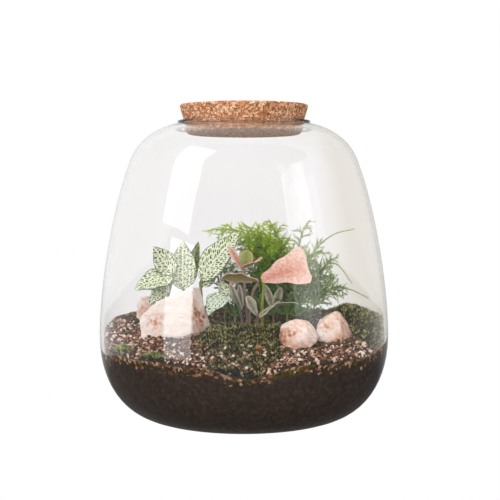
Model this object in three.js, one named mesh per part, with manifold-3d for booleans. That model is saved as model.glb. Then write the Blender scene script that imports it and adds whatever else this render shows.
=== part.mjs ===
// A closed glass terrarium: a squat blown jar with a tapered cork stopper, planted over dark soil with
// mosaic plants, a pink-leaved plant, an asparagus fern, moss, gravel and pale stones.
// Millimetres, +Z up. The origin is the centre of the jar's flat base, and -Y is the planting's front.
import * as THREE from "three";
import { ConvexGeometry } from "three/addons/geometries/ConvexGeometry.js";
import { mergeVertices } from "three/addons/utils/BufferGeometryUtils.js";
import Module from "manifold-3d";

const wasm = await Module();
wasm.setup();
const { Manifold } = wasm;

// Driving dimensions of the jar
const JAR_RADIUS = 125;
const WIDEST_Z = 70;
const BASE_RADIUS = 78;
const BASE_THICKNESS = 6;
const WALL = 3;
const SHOULDER_RADIUS = 99.5;
const SHOULDER_Z = 217;
const COLLAR_RADIUS = 60;
const COLLAR_Z = 252.4;
const LIP_RADIUS = 57.4;
const LIP_Z = 255.6;
const JAR_SIDES = 36;
const CURVE_STEPS = [5, 3, 4];

// Driving dimensions of the stopper
const CORK_TOP_Z = 269;
const CORK_BOTTOM_Z = 246;
const CORK_TOP_RADIUS = 55.8;
const CORK_TAPER = 0.29;
const CORK_CHAMFER = 0.8;

// Gap between pieces that touch
const GAP = 0.3;

// Driving dimensions of the planting
const SOIL_FRONT_Z = 61.5;
const SOIL_RISE = 18.5;
const SLOPE_START_Y = -95;
const SLOPE_LENGTH = 140;
const FRONT_DIP = 9.5;
const BACK_HEAP = 4;
const GRAVEL_WEDGE = 9;
const SOIL_CELLS = 14;
const ROOT_DEPTH = 12;
const ROOT_GAP = 0.9;
const HOLE_HEIGHT = 40;
const GRAIN_RADIUS = 2.9;
const LEAF_THICKNESS = 0.9;
const PETIOLE_RADIUS = 0.75;

const point = (x, y, z) => new THREE.Vector3(x, y, z);
const flat = (r, z) => new THREE.Vector2(r, z);

// A repeatable draw of numbers from 0 to 1
function dice(seed) {
  let state = seed;
  return () => {
    state = (state * 1664525 + 1013904223) % 4294967296;
    return state / 4294967296;
  };
}

function smoothstep(t) {
  const held = Math.min(1, Math.max(0, t));
  return held * held * (3 - 2 * held);
}

// The closed solid of a geometry whose shared corners are merged
function solidOf(geometry) {
  const bare = geometry.index ? geometry.toNonIndexed() : geometry.clone();
  for (const name of Object.keys(bare.attributes)) {
    if (name !== "position") bare.deleteAttribute(name);
  }
  const merged = mergeVertices(bare, 1e-3);
  const index = merged.index.array;
  const corners = [];
  for (let i = 0; i < index.length; i += 3) {
    const [a, b, c] = [index[i], index[i + 1], index[i + 2]];
    if (a !== b && b !== c && c !== a) corners.push(a, b, c);
  }
  const vertProperties = merged.attributes.position.array;
  return new Manifold(new wasm.Mesh({ numProp: 3, vertProperties, triVerts: Uint32Array.from(corners) }));
}

// The largest body of a solid, so that a loose scrap left by a cut is dropped
function largest(solid) {
  return solid.decompose().reduce((best, body) => (body.volume() > best.volume() ? body : best));
}

function geometryOf(solid) {
  const mesh = solid.getMesh();
  const positions = new Float32Array(mesh.numVert * 3);
  for (let i = 0; i < mesh.numVert; i += 1) {
    positions.set(mesh.vertProperties.subarray(i * mesh.numProp, i * mesh.numProp + 3), i * 3);
  }
  const geometry = new THREE.BufferGeometry();
  geometry.setAttribute("position", new THREE.BufferAttribute(positions, 3));
  geometry.setIndex(new THREE.BufferAttribute(mesh.triVerts.slice(), 1));
  geometry.computeVertexNormals();
  return geometry;
}

const MATERIALS = {
  glass: { color: 0xe6ece8, roughness: 0.03, metalness: 0, transparent: true, opacity: 0.3 },
  cork: { color: 0xc98d5e, roughness: 0.85, metalness: 0 },
  soil: { color: 0x372d29, roughness: 0.95, metalness: 0 },
  gravel: { color: 0xb58e78, roughness: 0.8, metalness: 0 },
  moss: { color: 0x55602f, roughness: 0.95, metalness: 0 },
  stone: { color: 0xe8cdbf, roughness: 0.6, metalness: 0 },
  whitePebble: { color: 0xefe8dc, roughness: 0.5, metalness: 0 },
  orangePebble: { color: 0xa8643c, roughness: 0.6, metalness: 0 },
  nettedLeaf: { color: 0xa9c48c, roughness: 0.5, metalness: 0 },
  pinkLeaf: { color: 0xd99a8f, roughness: 0.5, metalness: 0 },
  silverLeaf: { color: 0xaaa596, roughness: 0.5, metalness: 0 },
  fern: { color: 0x5f8a1e, roughness: 0.6, metalness: 0 },
};

const terrarium = new THREE.Group();

function addPiece(name, finish, solid) {
  const mesh = new THREE.Mesh(geometryOf(solid), new THREE.MeshStandardMaterial(MATERIALS[finish]));
  mesh.name = name;
  terrarium.add(mesh);
}

// Jar: the outside is three curves, heel, side and shoulder, and the inside runs a wall's thickness within
const outline = new THREE.CurvePath();
outline.add(new THREE.CubicBezierCurve(
  flat(BASE_RADIUS, 0),
  flat(106, 4),
  flat(JAR_RADIUS, 32),
  flat(JAR_RADIUS, WIDEST_Z),
));
outline.add(new THREE.CubicBezierCurve(
  flat(JAR_RADIUS, WIDEST_Z),
  flat(JAR_RADIUS, 108),
  flat(115, 175),
  flat(SHOULDER_RADIUS, SHOULDER_Z),
));
outline.add(new THREE.CubicBezierCurve(
  flat(SHOULDER_RADIUS, SHOULDER_Z),
  flat(96, 229),
  flat(86, 246),
  flat(COLLAR_RADIUS, COLLAR_Z),
));

// Points of the outline, moved inwards by a distance
function wallPoints(inset) {
  const points = [];
  outline.curves.forEach((curve, number) => {
    const steps = CURVE_STEPS[number];
    for (let step = number ? 1 : 0; step <= steps; step += 1) {
      const t = step / steps;
      const along = curve.getTangent(t);
      const at = curve.getPoint(t);
      points.push(flat(at.x - along.y * inset, at.y + along.x * inset));
    }
  });
  return points;
}

function lathe(points) {
  const geometry = new THREE.LatheGeometry(points, JAR_SIDES);
  geometry.rotateX(Math.PI / 2);
  return solidOf(geometry);
}

const corkRadius = (z) => CORK_TOP_RADIUS - CORK_TAPER * (CORK_TOP_Z - z);
const mouthRadius = corkRadius(LIP_Z) + GAP;

// The space within the walls, taken in by a distance, from the floor up to the collar
function insideWall(inset) {
  const floor = BASE_THICKNESS + inset;
  return [flat(BASE_RADIUS - inset, floor), ...wallPoints(WALL + inset).filter((p) => p.y > floor + 1.5)];
}

function glassJar() {
  const lip = [
    flat(LIP_RADIUS - 0.8, COLLAR_Z + 0.9),
    flat(LIP_RADIUS, COLLAR_Z + 1.9),
    flat(LIP_RADIUS - 0.9, LIP_Z - 0.3),
    flat(LIP_RADIUS - 2.6, LIP_Z),
    flat(mouthRadius + 0.8, LIP_Z - 0.2),
    flat(mouthRadius, LIP_Z - 1),
    flat(mouthRadius, COLLAR_Z - WALL),
  ];
  return lathe([flat(0, 0), ...wallPoints(0), ...lip, ...insideWall(0).reverse(), flat(0, BASE_THICKNESS)]);
}

function corkStopper() {
  return lathe([
    flat(0, CORK_BOTTOM_Z),
    flat(corkRadius(CORK_BOTTOM_Z) - CORK_CHAMFER, CORK_BOTTOM_Z),
    flat(corkRadius(CORK_BOTTOM_Z + CORK_CHAMFER), CORK_BOTTOM_Z + CORK_CHAMFER),
    flat(corkRadius(CORK_TOP_Z - CORK_CHAMFER), CORK_TOP_Z - CORK_CHAMFER),
    flat(CORK_TOP_RADIUS - CORK_CHAMFER, CORK_TOP_Z),
    flat(0, CORK_TOP_Z),
  ]);
}

const cavityWall = insideWall(GAP);
const cavity = lathe([flat(0, cavityWall[0].y), ...cavityWall, flat(0, cavityWall.at(-1).y)]);

// A smooth hill of height 1 at a place, which falls away over its reach along X and Y
function hill(x, y, [hillX, hillY], [reachX, reachY]) {
  return Math.exp(-(((x - hillX) / reachX) ** 2) - ((y - hillY) / reachY) ** 2);
}

// How much deeper the gravel lies against the left wall
const wedge = (x, y) => GRAVEL_WEDGE * hill(x, y, [-120, -35], [20, 42]);

// Height of the soil: it banks up from the front glass to the back, with a dip at the middle of the front
// and a heap at the back left
function soilZ(x, y) {
  const climb = smoothstep((y - SLOPE_START_Y) / SLOPE_LENGTH);
  const dip = FRONT_DIP * Math.exp(-(((x - 3) / 25) ** 2)) * (1 - climb) ** 2;
  const heap = BACK_HEAP * hill(x, y, [-100, 25], [24, 30]);
  const lumps = 1.1 * Math.sin(0.11 * x + 0.4) * Math.cos(0.09 * y);
  return SOIL_FRONT_Z + SOIL_RISE * climb - dip + heap - wedge(x, y) + lumps;
}

// A block under the soil's surface, whose top is raised by a distance
function soilBlock(raise) {
  const size = 2 * JAR_RADIUS + 10;
  const depth = 200;
  const geometry = new THREE.BoxGeometry(size, size, depth, SOIL_CELLS, SOIL_CELLS, 1);
  const position = geometry.attributes.position;
  for (let i = 0; i < position.count; i += 1) {
    if (position.getZ(i) > 0) {
      position.setZ(i, soilZ(position.getX(i), position.getY(i)) + raise);
    }
  }
  return solidOf(geometry);
}

const soilClear = soilBlock(GAP);

// Stones: hulls of their corners, written from the stone's own middle, and cut to the ground below
const STONES = {
  stone_slab: {
    middle: [-60, -15, 92],
    corners: [
      [-27, -17, -20], [-28, -15, -4], [-19, -13, 4], [-12, -11, 10], [4, -9, 16], [17, -7, 21],
      [16, -11, -18], [-5, -15, -24], [-23, -17, -24], [22, 4, 20], [25, 7, 7], [32, 13, -18],
      [28, 10, -26], [24, 12, -27], [-22, 10, -24], [-21, 11, 2], [-10, 12, 9], [14, 13, 18],
    ],
  },
  stone_back: {
    middle: [-88, 17, 90],
    corners: [
      [-8, -5, -14], [-7, -5, 6], [-4, -4, 11], [3, -4, 12], [10, -3, 6], [11, -4, -14],
      [-6, 7, -14], [-5, 6, 8], [4, 7, 9], [9, 6, -14],
    ],
  },
  stone_round: {
    middle: [45.5, -43, 76],
    corners: [
      [-16, 2, -2], [-15, -2, 5], [-13, 4, 8], [-8, -3, 11], [-2, 4, 12.5], [5, -3, 12], [9, 5, 10],
      [13, -2, 5], [16, 2, 0], [15, -5, -6], [9, -10, -10], [-1, -12, -12], [-10, -10, -11],
      [-15, -6, -6], [-12, 9, -10], [0, 13, -10], [12, 10, -9], [2, 12, 4], [-9, -8, 5], [6, -10, 3],
      [0, -12, -4], [13, 7, 5], [-4, -6, -15], [6, 6, -15],
    ],
  },
  stone_angular: {
    middle: [77, -24, 76],
    corners: [
      [-18, -9, -12], [-16, -9, 3], [-9, -8, 11], [-1, -6, 17], [5, -3, 16.5], [12, -1, 3],
      [18, 3, -7], [15, -4, -13], [7, -13, -14], [-9, -14, -12], [2, 8, 16], [-12, 8, 9],
      [-16, 10, -14], [14, 11, -14], [11, 9, 4], [4, -12, 3],
    ],
  },
};

// A stone's solid, scaled up so that even its nearest face moves out by a distance
const STONE_NEAREST_FACE = 9;

function stone({ middle, corners }, grow = 0) {
  const shape = solidOf(new ConvexGeometry(corners.map((c) => point(...c))));
  const scale = 1 + grow / STONE_NEAREST_FACE;
  return shape.scale([scale, scale, scale]).translate(middle);
}

// Small pebbles that lie half sunk in the moss
const PEBBLE_RISE = 7.5;
const PEBBLES = {
  pebble_white_left: { finish: "whitePebble", at: [-1.5, -51], size: [2.2, 1.9, 1.8], turn: 0.3 },
  pebble_white_right: { finish: "whitePebble", at: [5.2, -53], size: [2.3, 1.9, 1.7], turn: 1.1 },
  pebble_orange: { finish: "orangePebble", at: [12.2, -57], size: [3.7, 2.8, 2.6], turn: 2 },
};

// Is a place inside an outline, and how far is it from the outline's nearest side?
function inOutline(edge, x, y) {
  return edge.reduce((inside, [ax, ay], i) => {
    const [bx, by] = edge[(i + edge.length - 1) % edge.length];
    const crosses = ay > y !== by > y && x < ((bx - ax) * (y - ay)) / (by - ay) + ax;
    return crosses ? !inside : inside;
  }, false);
}

function edgeDistance(edge, x, y) {
  const place = point(x, y, 0);
  return Math.min(...edge.map(([ax, ay], i) => {
    const [bx, by] = edge[(i + 1) % edge.length];
    const side = new THREE.Line3(point(ax, ay, 0), point(bx, by, 0));
    return side.closestPointToPoint(place, true, point()).distanceTo(place);
  }));
}

function extent(edge) {
  const box = new THREE.Box2().setFromPoints(edge.map(([x, y]) => flat(x, y)));
  return { box, middle: box.getCenter(flat()), size: box.getSize(flat()) };
}

// A number from -1 to 1 that looks random but belongs to its place
function speckle(x, y) {
  const wave = Math.sin(x * 12.9898 + y * 78.233) * 43758.5453;
  return 2 * (wave - Math.floor(wave)) - 1;
}

// An outline grown about its middle, so that each side moves out by a gap or more
function grown(edge) {
  const { middle, size } = extent(edge);
  const scale = 1 + (4 * GAP) / Math.min(size.x, size.y);
  return edge.map(([x, y]) => [middle.x + (x - middle.x) * scale, middle.y + (y - middle.y) * scale]);
}

// The space over an outline, from the jar's base to well above the planting's ground
function columnOver(edge) {
  const shape = new THREE.Shape(edge.map(([x, y]) => flat(x, y)));
  return solidOf(new THREE.ExtrudeGeometry(shape, { depth: 120, bevelEnabled: false }));
}

// A layer over the soil inside an outline, of a height that changes from place to place, on a grid of cells
// whose corners are pushed about
const STIR = 0.3;

function groundLayer(edge, heightAt, cell) {
  const { middle, size } = extent(edge);
  const [columns, rows] = [Math.ceil(size.x / cell) + 1, Math.ceil(size.y / cell) + 1];
  const geometry = new THREE.BoxGeometry(columns * cell, rows * cell, 60, columns, rows, 1);
  geometry.translate(middle.x, middle.y, 0);
  const position = geometry.attributes.position;
  for (let i = 0; i < position.count; i += 1) {
    if (position.getZ(i) > 0) {
      const [x, y] = [position.getX(i), position.getY(i)];
      position.setX(i, x + STIR * cell * speckle(x + 7, y));
      position.setY(i, y + STIR * cell * speckle(x, y + 5));
      position.setZ(i, soilZ(x, y) + heightAt(x, y));
    }
  }
  return solidOf(geometry).intersect(columnOver(edge));
}

// Moss: cushions with a rounded edge, and hills where they stand higher
const MOSS_DEPTH = 6;
const MOSS_EDGE = 1.6;
const MOSS_ROUNDING = 5;
const MOSS_CELL = 7;
const MOSS_ROUGHNESS = 1.1;
const MOSS = {
  moss_carpet: {
    edge: [
      [-20, 6], [-36, 2], [-33, -16], [-39, -42], [-34, -66], [-25, -82], [-27, -102], [-19, -124],
      [10, -124], [15, -104], [22, -86], [34, -70], [30, -54], [36, -26], [40, -6], [31, 3], [21, -5],
      [12, -9], [3, -7], [-6, 3],
    ],
    hills: [{ at: [-12, -40], reach: [26, 24], height: 3 }, { at: [14, -26], reach: [22, 26], height: 3 }],
  },
  moss_left_high: {
    edge: [[-108, -66], [-103, -75], [-92, -74], [-87, -65], [-93, -58], [-104, -58]],
    hills: [],
  },
  moss_left_low: {
    edge: [[-86, -92], [-78, -102], [-64, -101], [-59, -90], [-67, -83], [-80, -84]],
    hills: [],
  },
  moss_right: {
    edge: [
      [76, 42], [73, 20], [79, -2], [91, -20], [98, -40], [110, -56], [126, -44], [128, 8], [112, 50],
      [90, 56],
    ],
    hills: [{ at: [94, 9], reach: [17, 24], height: 11 }, { at: [111, -18], reach: [11, 17], height: 9 }],
  },
};

function moss({ edge, hills }) {
  const heightAt = (x, y) => {
    const inward = inOutline(edge, x, y) ? edgeDistance(edge, x, y) : 0;
    const cushion = MOSS_EDGE + (MOSS_DEPTH - MOSS_EDGE) * Math.sqrt(Math.min(1, inward / MOSS_ROUNDING));
    const rise = hills.reduce((sum, { at, reach, height }) => sum + height * hill(x, y, at, reach), 0);
    return cushion + rise + wedge(x, y) + MOSS_ROUGHNESS * speckle(x, y);
  };
  return groundLayer(edge, heightAt, MOSS_CELL);
}

// Gravel: a rough layer of fine grit with a scatter of larger grains half sunk in it
const GRIT_HEIGHT = 2.4;
const GRIT_CELL = 5;
const GRAVEL = {
  gravel_left: {
    seed: 21,
    grains: 9,
    edge: [
      [-124, 0], [-108, 6], [-90, 2], [-78, -20], [-62, -38], [-46, -58], [-50, -116], [-84, -104],
      [-116, -60],
    ],
  },
  gravel_front: {
    seed: 34,
    grains: 2,
    edge: [[-49, -114], [-45, -76], [-36, -78], [-28, -92], [-30, -118], [-40, -122]],
  },
  gravel_right: {
    seed: 55,
    grains: 9,
    edge: [
      [12, -124], [18, -98], [30, -76], [34, -66], [62, -64], [84, -48], [96, -40], [108, -58],
      [92, -88], [50, -118],
    ],
  },
};

// Grain places, drawn one by one, each clear of the ones before it
function grainPlaces({ edge, grains, seed }) {
  const draw = dice(seed);
  const { box, size } = extent(edge);
  const places = [];
  for (let tries = 0; tries < 2000 && places.length < grains; tries += 1) {
    const [x, y] = [box.min.x + size.x * draw(), box.min.y + size.y * draw()];
    const free = places.every((p) => Math.hypot(p.x - x, p.y - y) > 3 * GRAIN_RADIUS);
    const inside = inOutline(edge, x, y) && edgeDistance(edge, x, y) > GRAIN_RADIUS;
    if (free && inside) places.push({ x, y, turn: draw(), size: 0.8 + 0.4 * draw() });
  }
  return places;
}

function gravel(patch) {
  const heightAt = (x, y) => GRIT_HEIGHT + wedge(x, y) + speckle(x, y);
  const grit = groundLayer(patch.edge, heightAt, GRIT_CELL);
  const grains = grainPlaces(patch).map(({ x, y, turn, size }) => {
    const grain = new THREE.OctahedronGeometry(GRAIN_RADIUS * size);
    grain.scale(1, 0.8, 0.75);
    grain.rotateX(Math.PI * turn);
    grain.rotateZ(5 * Math.PI * turn);
    grain.translate(x, y, soilZ(x, y) + GRIT_HEIGHT + wedge(x, y));
    return solidOf(grain);
  });
  return Manifold.union([grit, ...grains]);
}

// Leaves and stems: a record of where each plant already is, so that a later needle can keep clear
const taken = [];
const NOTE_STEP = 2.5;

function note(owner, at, radius) {
  taken.push({ owner, at, radius });
}

function isClear(owner, from, to, margin) {
  const steps = Math.ceil(from.distanceTo(to) / 2);
  for (let i = 0; i <= steps; i += 1) {
    const at = from.clone().lerp(to, i / steps);
    const near = taken.some((t) => t.owner !== owner && t.at.distanceTo(at) < t.radius + margin);
    if (near) return false;
  }
  return true;
}

// A closed thin sheet over a grid of stations (along) and lanes (across), split alike on both faces
function sheet(stations, lanes, surface, thickness) {
  const positions = [];
  const row = lanes + 1;
  const layer = (stations + 1) * row;
  for (const side of [0.5, -0.5]) {
    for (let i = 0; i <= stations; i += 1) {
      for (let j = 0; j <= lanes; j += 1) {
        const { at, normal } = surface(i / stations, (2 * j) / lanes - 1);
        positions.push(...at.clone().addScaledVector(normal, side * thickness).toArray());
      }
    }
  }
  const index = [];
  const quad = (a, b, c, d) => index.push(a, b, c, a, c, d);
  for (let i = 0; i < stations; i += 1) {
    for (let j = 0; j < lanes; j += 1) {
      const a = i * row + j;
      quad(a, a + 1, a + row + 1, a + row);
      quad(layer + a + row + 1, layer + a + 1, layer + a, layer + a + row);
    }
  }
  const rim = [];
  for (let j = 0; j < lanes; j += 1) rim.push(j);
  for (let i = 0; i < stations; i += 1) rim.push(i * row + lanes);
  for (let j = lanes; j > 0; j -= 1) rim.push(stations * row + j);
  for (let i = stations; i > 0; i -= 1) rim.push(i * row);
  rim.forEach((a, i) => {
    const b = rim[(i + 1) % rim.length];
    quad(b, a, layer + a, layer + b);
  });
  const geometry = new THREE.BufferGeometry();
  geometry.setAttribute("position", new THREE.Float32BufferAttribute(positions, 3));
  geometry.setIndex(index);
  return solidOf(geometry);
}

// Half widths along a leaf, as a share of the widest: an egg shape with a drawn-out tip
const RIPPLES = 2.5;
const eggShape = (u) => Math.max(0.07, Math.sin(Math.PI * u ** 0.8) ** 0.8 * (1 - 0.25 * u));
const spoonShape = (u) => Math.max(0.14, Math.sin(Math.PI * (0.05 + 0.9 * u ** 1.3)) ** 0.7);
const strapShape = (u) => Math.max(0.1, Math.sin(Math.PI * (0.12 + 0.86 * u)) ** 0.6);

// One leaf and its petiole, which leaves the stem's path a share of the way along it. "up" is the way the
// upper face looks, "arch" lifts the middle of the midrib, "fold" turns the halves up, and "wave" ripples
// the edges.
function leaf(owner, path, spec) {
  const { from: share, base, tip, up, width, shape, arch = 0, fold = 0, wave = 0, twist = 0 } = spec;
  const { stations = 5, lanes = 4, thickness = LEAF_THICKNESS } = spec;
  const [start, end] = [point(...base), point(...tip)];
  const along = end.clone().sub(start).normalize();
  const across = along.clone().cross(point(...up)).normalize();
  const face = across.clone().cross(along).normalize();
  const crest = start.clone().lerp(end, 0.5).addScaledVector(face, 2 * arch);
  const midrib = new THREE.QuadraticBezierCurve3(start, crest, end);
  const surface = (u, v) => {
    const turn = twist * (u - 0.3);
    const side = across.clone().multiplyScalar(Math.cos(turn)).addScaledVector(face, Math.sin(turn));
    const normal = side.clone().cross(midrib.getTangent(u)).normalize();
    const half = 0.5 * width * shape(u);
    const ripple = wave * v * v * Math.sin(RIPPLES * 2 * Math.PI * u + (v > 0 ? 0 : 1.4));
    const lift = fold * Math.abs(v) * half + ripple;
    const at = midrib.getPoint(u).addScaledVector(side, v * half).addScaledVector(normal, lift);
    return { at, normal };
  };
  const [rows, columns] = [Math.ceil(start.distanceTo(end) / NOTE_STEP), Math.ceil(width / NOTE_STEP)];
  for (let i = 0; i <= rows; i += 1) {
    for (let j = 0; j <= columns; j += 1) note(owner, surface(i / rows, (2 * j) / columns - 1).at, 1);
  }
  const joint = midrib.getPoint(0.06);
  const way = [path.getPointAt(share).toArray(), base, joint.toArray()];
  const petiole = stem(owner, way, PETIOLE_RADIUS, 3, 1);
  return sheet(stations, lanes, surface, thickness).add(petiole.solid);
}

// A round stem through points
function stem(owner, points, radius, sides = 5, steps = 4) {
  const path = new THREE.CatmullRomCurve3(points.map((p) => point(...p)));
  const ring = new THREE.Shape(
    Array.from({ length: sides }, (_, i) => {
      const angle = (2 * Math.PI * i) / sides;
      return flat(radius * Math.cos(angle), radius * Math.sin(angle));
    }),
  );
  for (const at of path.getSpacedPoints(Math.ceil(path.getLength() / NOTE_STEP))) note(owner, at, radius);
  const geometry = new THREE.ExtrudeGeometry(ring, { steps, extrudePath: path, bevelEnabled: false });
  return { path, solid: solidOf(geometry) };
}

const roots = [];

// The points of a stem from its root hole in the soil, which it leaves straight up
function rooted([x, y], radius, ...rest) {
  roots.push({ x, y, radius });
  const ground = soilZ(x, y);
  return [[x, y, ground - ROOT_DEPTH], [x, y, ground - 4], [x, y, ground + 4], ...rest];
}

// Mosaic plant: leafy stems that rise behind the slab, with broad netted leaves
const netted = { shape: eggShape, fold: 0.16, wave: 0.7, arch: 3 };
const MOSAIC = {
  mosaic_stem_left: {
    root: [-71, 19],
    stem: [[-68, 16, 100], [-62, 11, 121]],
    leaves: [
      { from: 1, base: [-63, 11, 119], tip: [-96, 5, 108], up: [-0.2, -0.75, 1], width: 21, arch: 4 },
      { from: 0.86, base: [-67, 14, 112], tip: [-83, 6, 96], up: [-0.6, -1, 0.7], width: 17, arch: 3 },
      { from: 1, base: [-63, 11, 122], tip: [-79, 4, 146], up: [0.1, -1, 0.35], width: 20 },
    ],
  },
  mosaic_stem_tall: {
    root: [-55, 24],
    stem: [[-54, 24, 95], [-54, 22, 108]],
    leaves: [
      { from: 1, base: [-54, 21, 110], tip: [-53, 17, 150], up: [0, -1, 0.2], width: 25 },
      { from: 0.95, base: [-52, 23, 111], tip: [-41, 27, 149], up: [0.5, -1, 0.3], width: 15 },
    ],
  },
  mosaic_stem_right: {
    root: [-37, 20],
    stem: [[-38, 19, 100], [-39, 15, 114]],
    leaves: [
      { from: 1, base: [-38, 14, 116], tip: [-4, 13, 157], up: [-0.3, -1, 0.45], width: 29, arch: 4 },
      { from: 0.88, base: [-37, 17, 110], tip: [-24, 21, 126], up: [0.3, -1, 0.5], width: 13, arch: 2 },
    ],
  },
  mosaic_stem_low: {
    root: [-17, 19],
    stem: [[-15, 13, 95], [-14, 6, 102]],
    leaves: [
      { from: 1, base: [-15, 4, 103], tip: [-31, -13, 89], up: [-0.3, -0.8, 1], width: 20, arch: 4 },
      { from: 0.9, base: [-15, 11, 100], tip: [-22, 22, 116], up: [0.2, -1, 0.4], width: 12, arch: 2 },
    ],
  },
};
const MOSAIC_STEM = 1.2;

// Pink-leaved plant: one crown behind the moss, whose leaf stalks and silver leaves fan out
const narrow = { shape: strapShape, stations: 4, lanes: 2 };
const spoon = { shape: spoonShape, lanes: 2 };
const PINK = {
  pink_leaf_broad: {
    finish: "pinkLeaf",
    root: [16, 8],
    stem: [[16, 0, 98], [18, -8, 111], [20, -11, 116]],
    leaves: [
      {
        from: 1, base: [21, -12, 117], tip: [58, -14, 130], up: [-0.25, -0.75, 0.75], width: 33, arch: 3,
        fold: 0.34, wave: 1, shape: spoonShape, thickness: 1.2, stations: 7,
      },
    ],
  },
  pink_leaf_left: {
    finish: "pinkLeaf",
    root: [5, 8],
    stem: [[6, 2, 98], [9, -8, 110], [12, -14, 115]],
    leaves: [
      {
        from: 1, base: [12, -15, 118], tip: [-20, -9, 120], up: [0, 0.35, 1], width: 20, arch: 4,
        fold: -0.3, wave: 0.8, shape: spoonShape, thickness: 1.2,
      },
    ],
  },
  pink_leaf_pair: {
    finish: "pinkLeaf",
    root: [3, 14],
    stem: [[1, 9, 100], [0, 3, 124], [-1, 2, 129]],
    leaves: [
      {
        from: 0.96, base: [-2, 0, 127], tip: [-13, -5, 147],
        up: [0.9, -0.5, 0.4], width: 9, twist: 1, ...narrow,
      },
      {
        from: 1, base: [-1, 2, 128], tip: [16, -3, 137],
        up: [-0.3, 0.4, 1], width: 9, twist: -1.2, ...narrow,
      },
      { from: 0.95, base: [0, 4, 127], tip: [3, 4, 143], up: [0, -1, 0.2], width: 13, arch: 1, ...spoon },
    ],
  },
  pink_leaf_low: {
    finish: "silverLeaf",
    root: [12, 3],
    stem: [[12, 0, 84], [12, -3, 86]],
    leaves: [
      {
        from: 0.95, base: [11, -4, 87], tip: [2, -9, 104],
        up: [0.8, -1, 0.2], width: 10, fold: 0.3, ...spoon,
      },
      {
        from: 1, base: [13, -5, 86], tip: [31, -9, 100],
        up: [-0.5, -0.4, 1], width: 8, twist: 0.9, ...narrow,
      },
      {
        from: 0.98, base: [14, -3, 88], tip: [47, -4, 97],
        up: [-0.2, 0.5, 1], width: 6, arch: 4, ...narrow,
      },
    ],
  },
  silver_leaves_left: {
    finish: "silverLeaf",
    root: [-2, 12],
    stem: [[-3, 9, 86], [-4, 8, 92]],
    leaves: [
      {
        from: 1, base: [-3, 8, 90], tip: [-12, 1, 115],
        up: [-0.7, -1, 0.2], width: 8, fold: 0.3, ...narrow,
      },
      {
        from: 0.9, base: [-3, 9, 90], tip: [-4, 6, 112],
        up: [-0.2, -1, 0.2], width: 7, fold: 0.3, ...narrow,
      },
    ],
  },
  silver_leaves_right: {
    finish: "silverLeaf",
    root: [26, 13],
    stem: [[26, 10, 86], [26, 9, 92]],
    leaves: [
      {
        from: 0.9, base: [25, 8, 93], tip: [19, 7, 112],
        up: [-0.3, -1, 0.2], width: 7, fold: 0.3, ...narrow,
      },
      { from: 1, base: [27, 8, 94], tip: [32, 7, 110], up: [0.6, -1, 0.2], width: 9, fold: 0.2, ...narrow },
    ],
  },
};
const STALK = 1.3;

function plant(name, { root, stem: rise, leaves, radius }, habit) {
  const stalk = stem(name, rooted(root, radius, ...rise), radius);
  const blades = leaves.map((spec) => leaf(name, stalk.path, { ...habit, ...spec }));
  return largest(Manifold.union([stalk.solid, ...blades]));
}

// Asparagus fern: fronds that arch out of a clump, each a wiry stem with side sprays set with needles
const FROND_STEM = 0.75;
const FRONDS = {
  fern_frond_left: { root: [31, 32], way: [[30, 33, 110], [20, 30, 142], [-2, 22, 158], [-27, 12, 161]] },
  fern_frond_crown: { root: [38, 36], way: [[37, 38, 112], [34, 40, 140], [28, 38, 158], [22, 34, 169]] },
  fern_frond_back: { root: [46, 42], way: [[47, 46, 112], [50, 50, 140], [54, 48, 158], [60, 42, 168]] },
  fern_frond_right: { root: [51, 34], way: [[54, 36, 112], [64, 36, 140], [80, 31, 155], [99, 22, 161]] },
  fern_frond_outer: { root: [55, 25], way: [[60, 24, 105], [70, 20, 126], [82, 14, 130], [95, 8, 114]] },
  fern_frond_low: { root: [59, 15], way: [[65, 13, 98], [77, 9, 108], [92, 4, 109], [108, -2, 102]] },
  fern_frond_near: { root: [42, 20], way: [[44, 16, 100], [50, 10, 120], [56, 6, 136], [68, 2, 143]] },
  fern_frond_inner: { root: [29, 22], way: [[22, 24, 102], [10, 27, 120], [-4, 28, 130], [-14, 28, 126]] },
};
const SPRAYS_A_FROND = 9;
const NEEDLES_A_SPRAY = 4;
const SPRAY_LENGTH = 32;
const SPRAY_THICKNESS = 0.7;
const RIB_WIDTH = 0.8;
const NEEDLE_WIDTH = 1;
const NEEDLE_REACH = [5.6, 4.4];
const PLANT_MARGIN = 1.3;
const GLASS_MARGIN = 2;
const GROUND_MARGIN = 8;

// Is a straight piece of a plant free of the other plants, of the glass and of the ground?
function hasRoom(owner, from, to) {
  const within = cavityWall.some((p, i) => {
    const next = cavityWall[i + 1];
    if (!next || to.z < p.y || to.z > next.y) return false;
    const reach = p.x + ((next.x - p.x) * (to.z - p.y)) / (next.y - p.y);
    return Math.hypot(to.x, to.y) < reach - GLASS_MARGIN;
  });
  const high = to.z > soilZ(to.x, to.y) + GROUND_MARGIN;
  return within && high && isClear(owner, from, to, PLANT_MARGIN);
}

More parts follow.
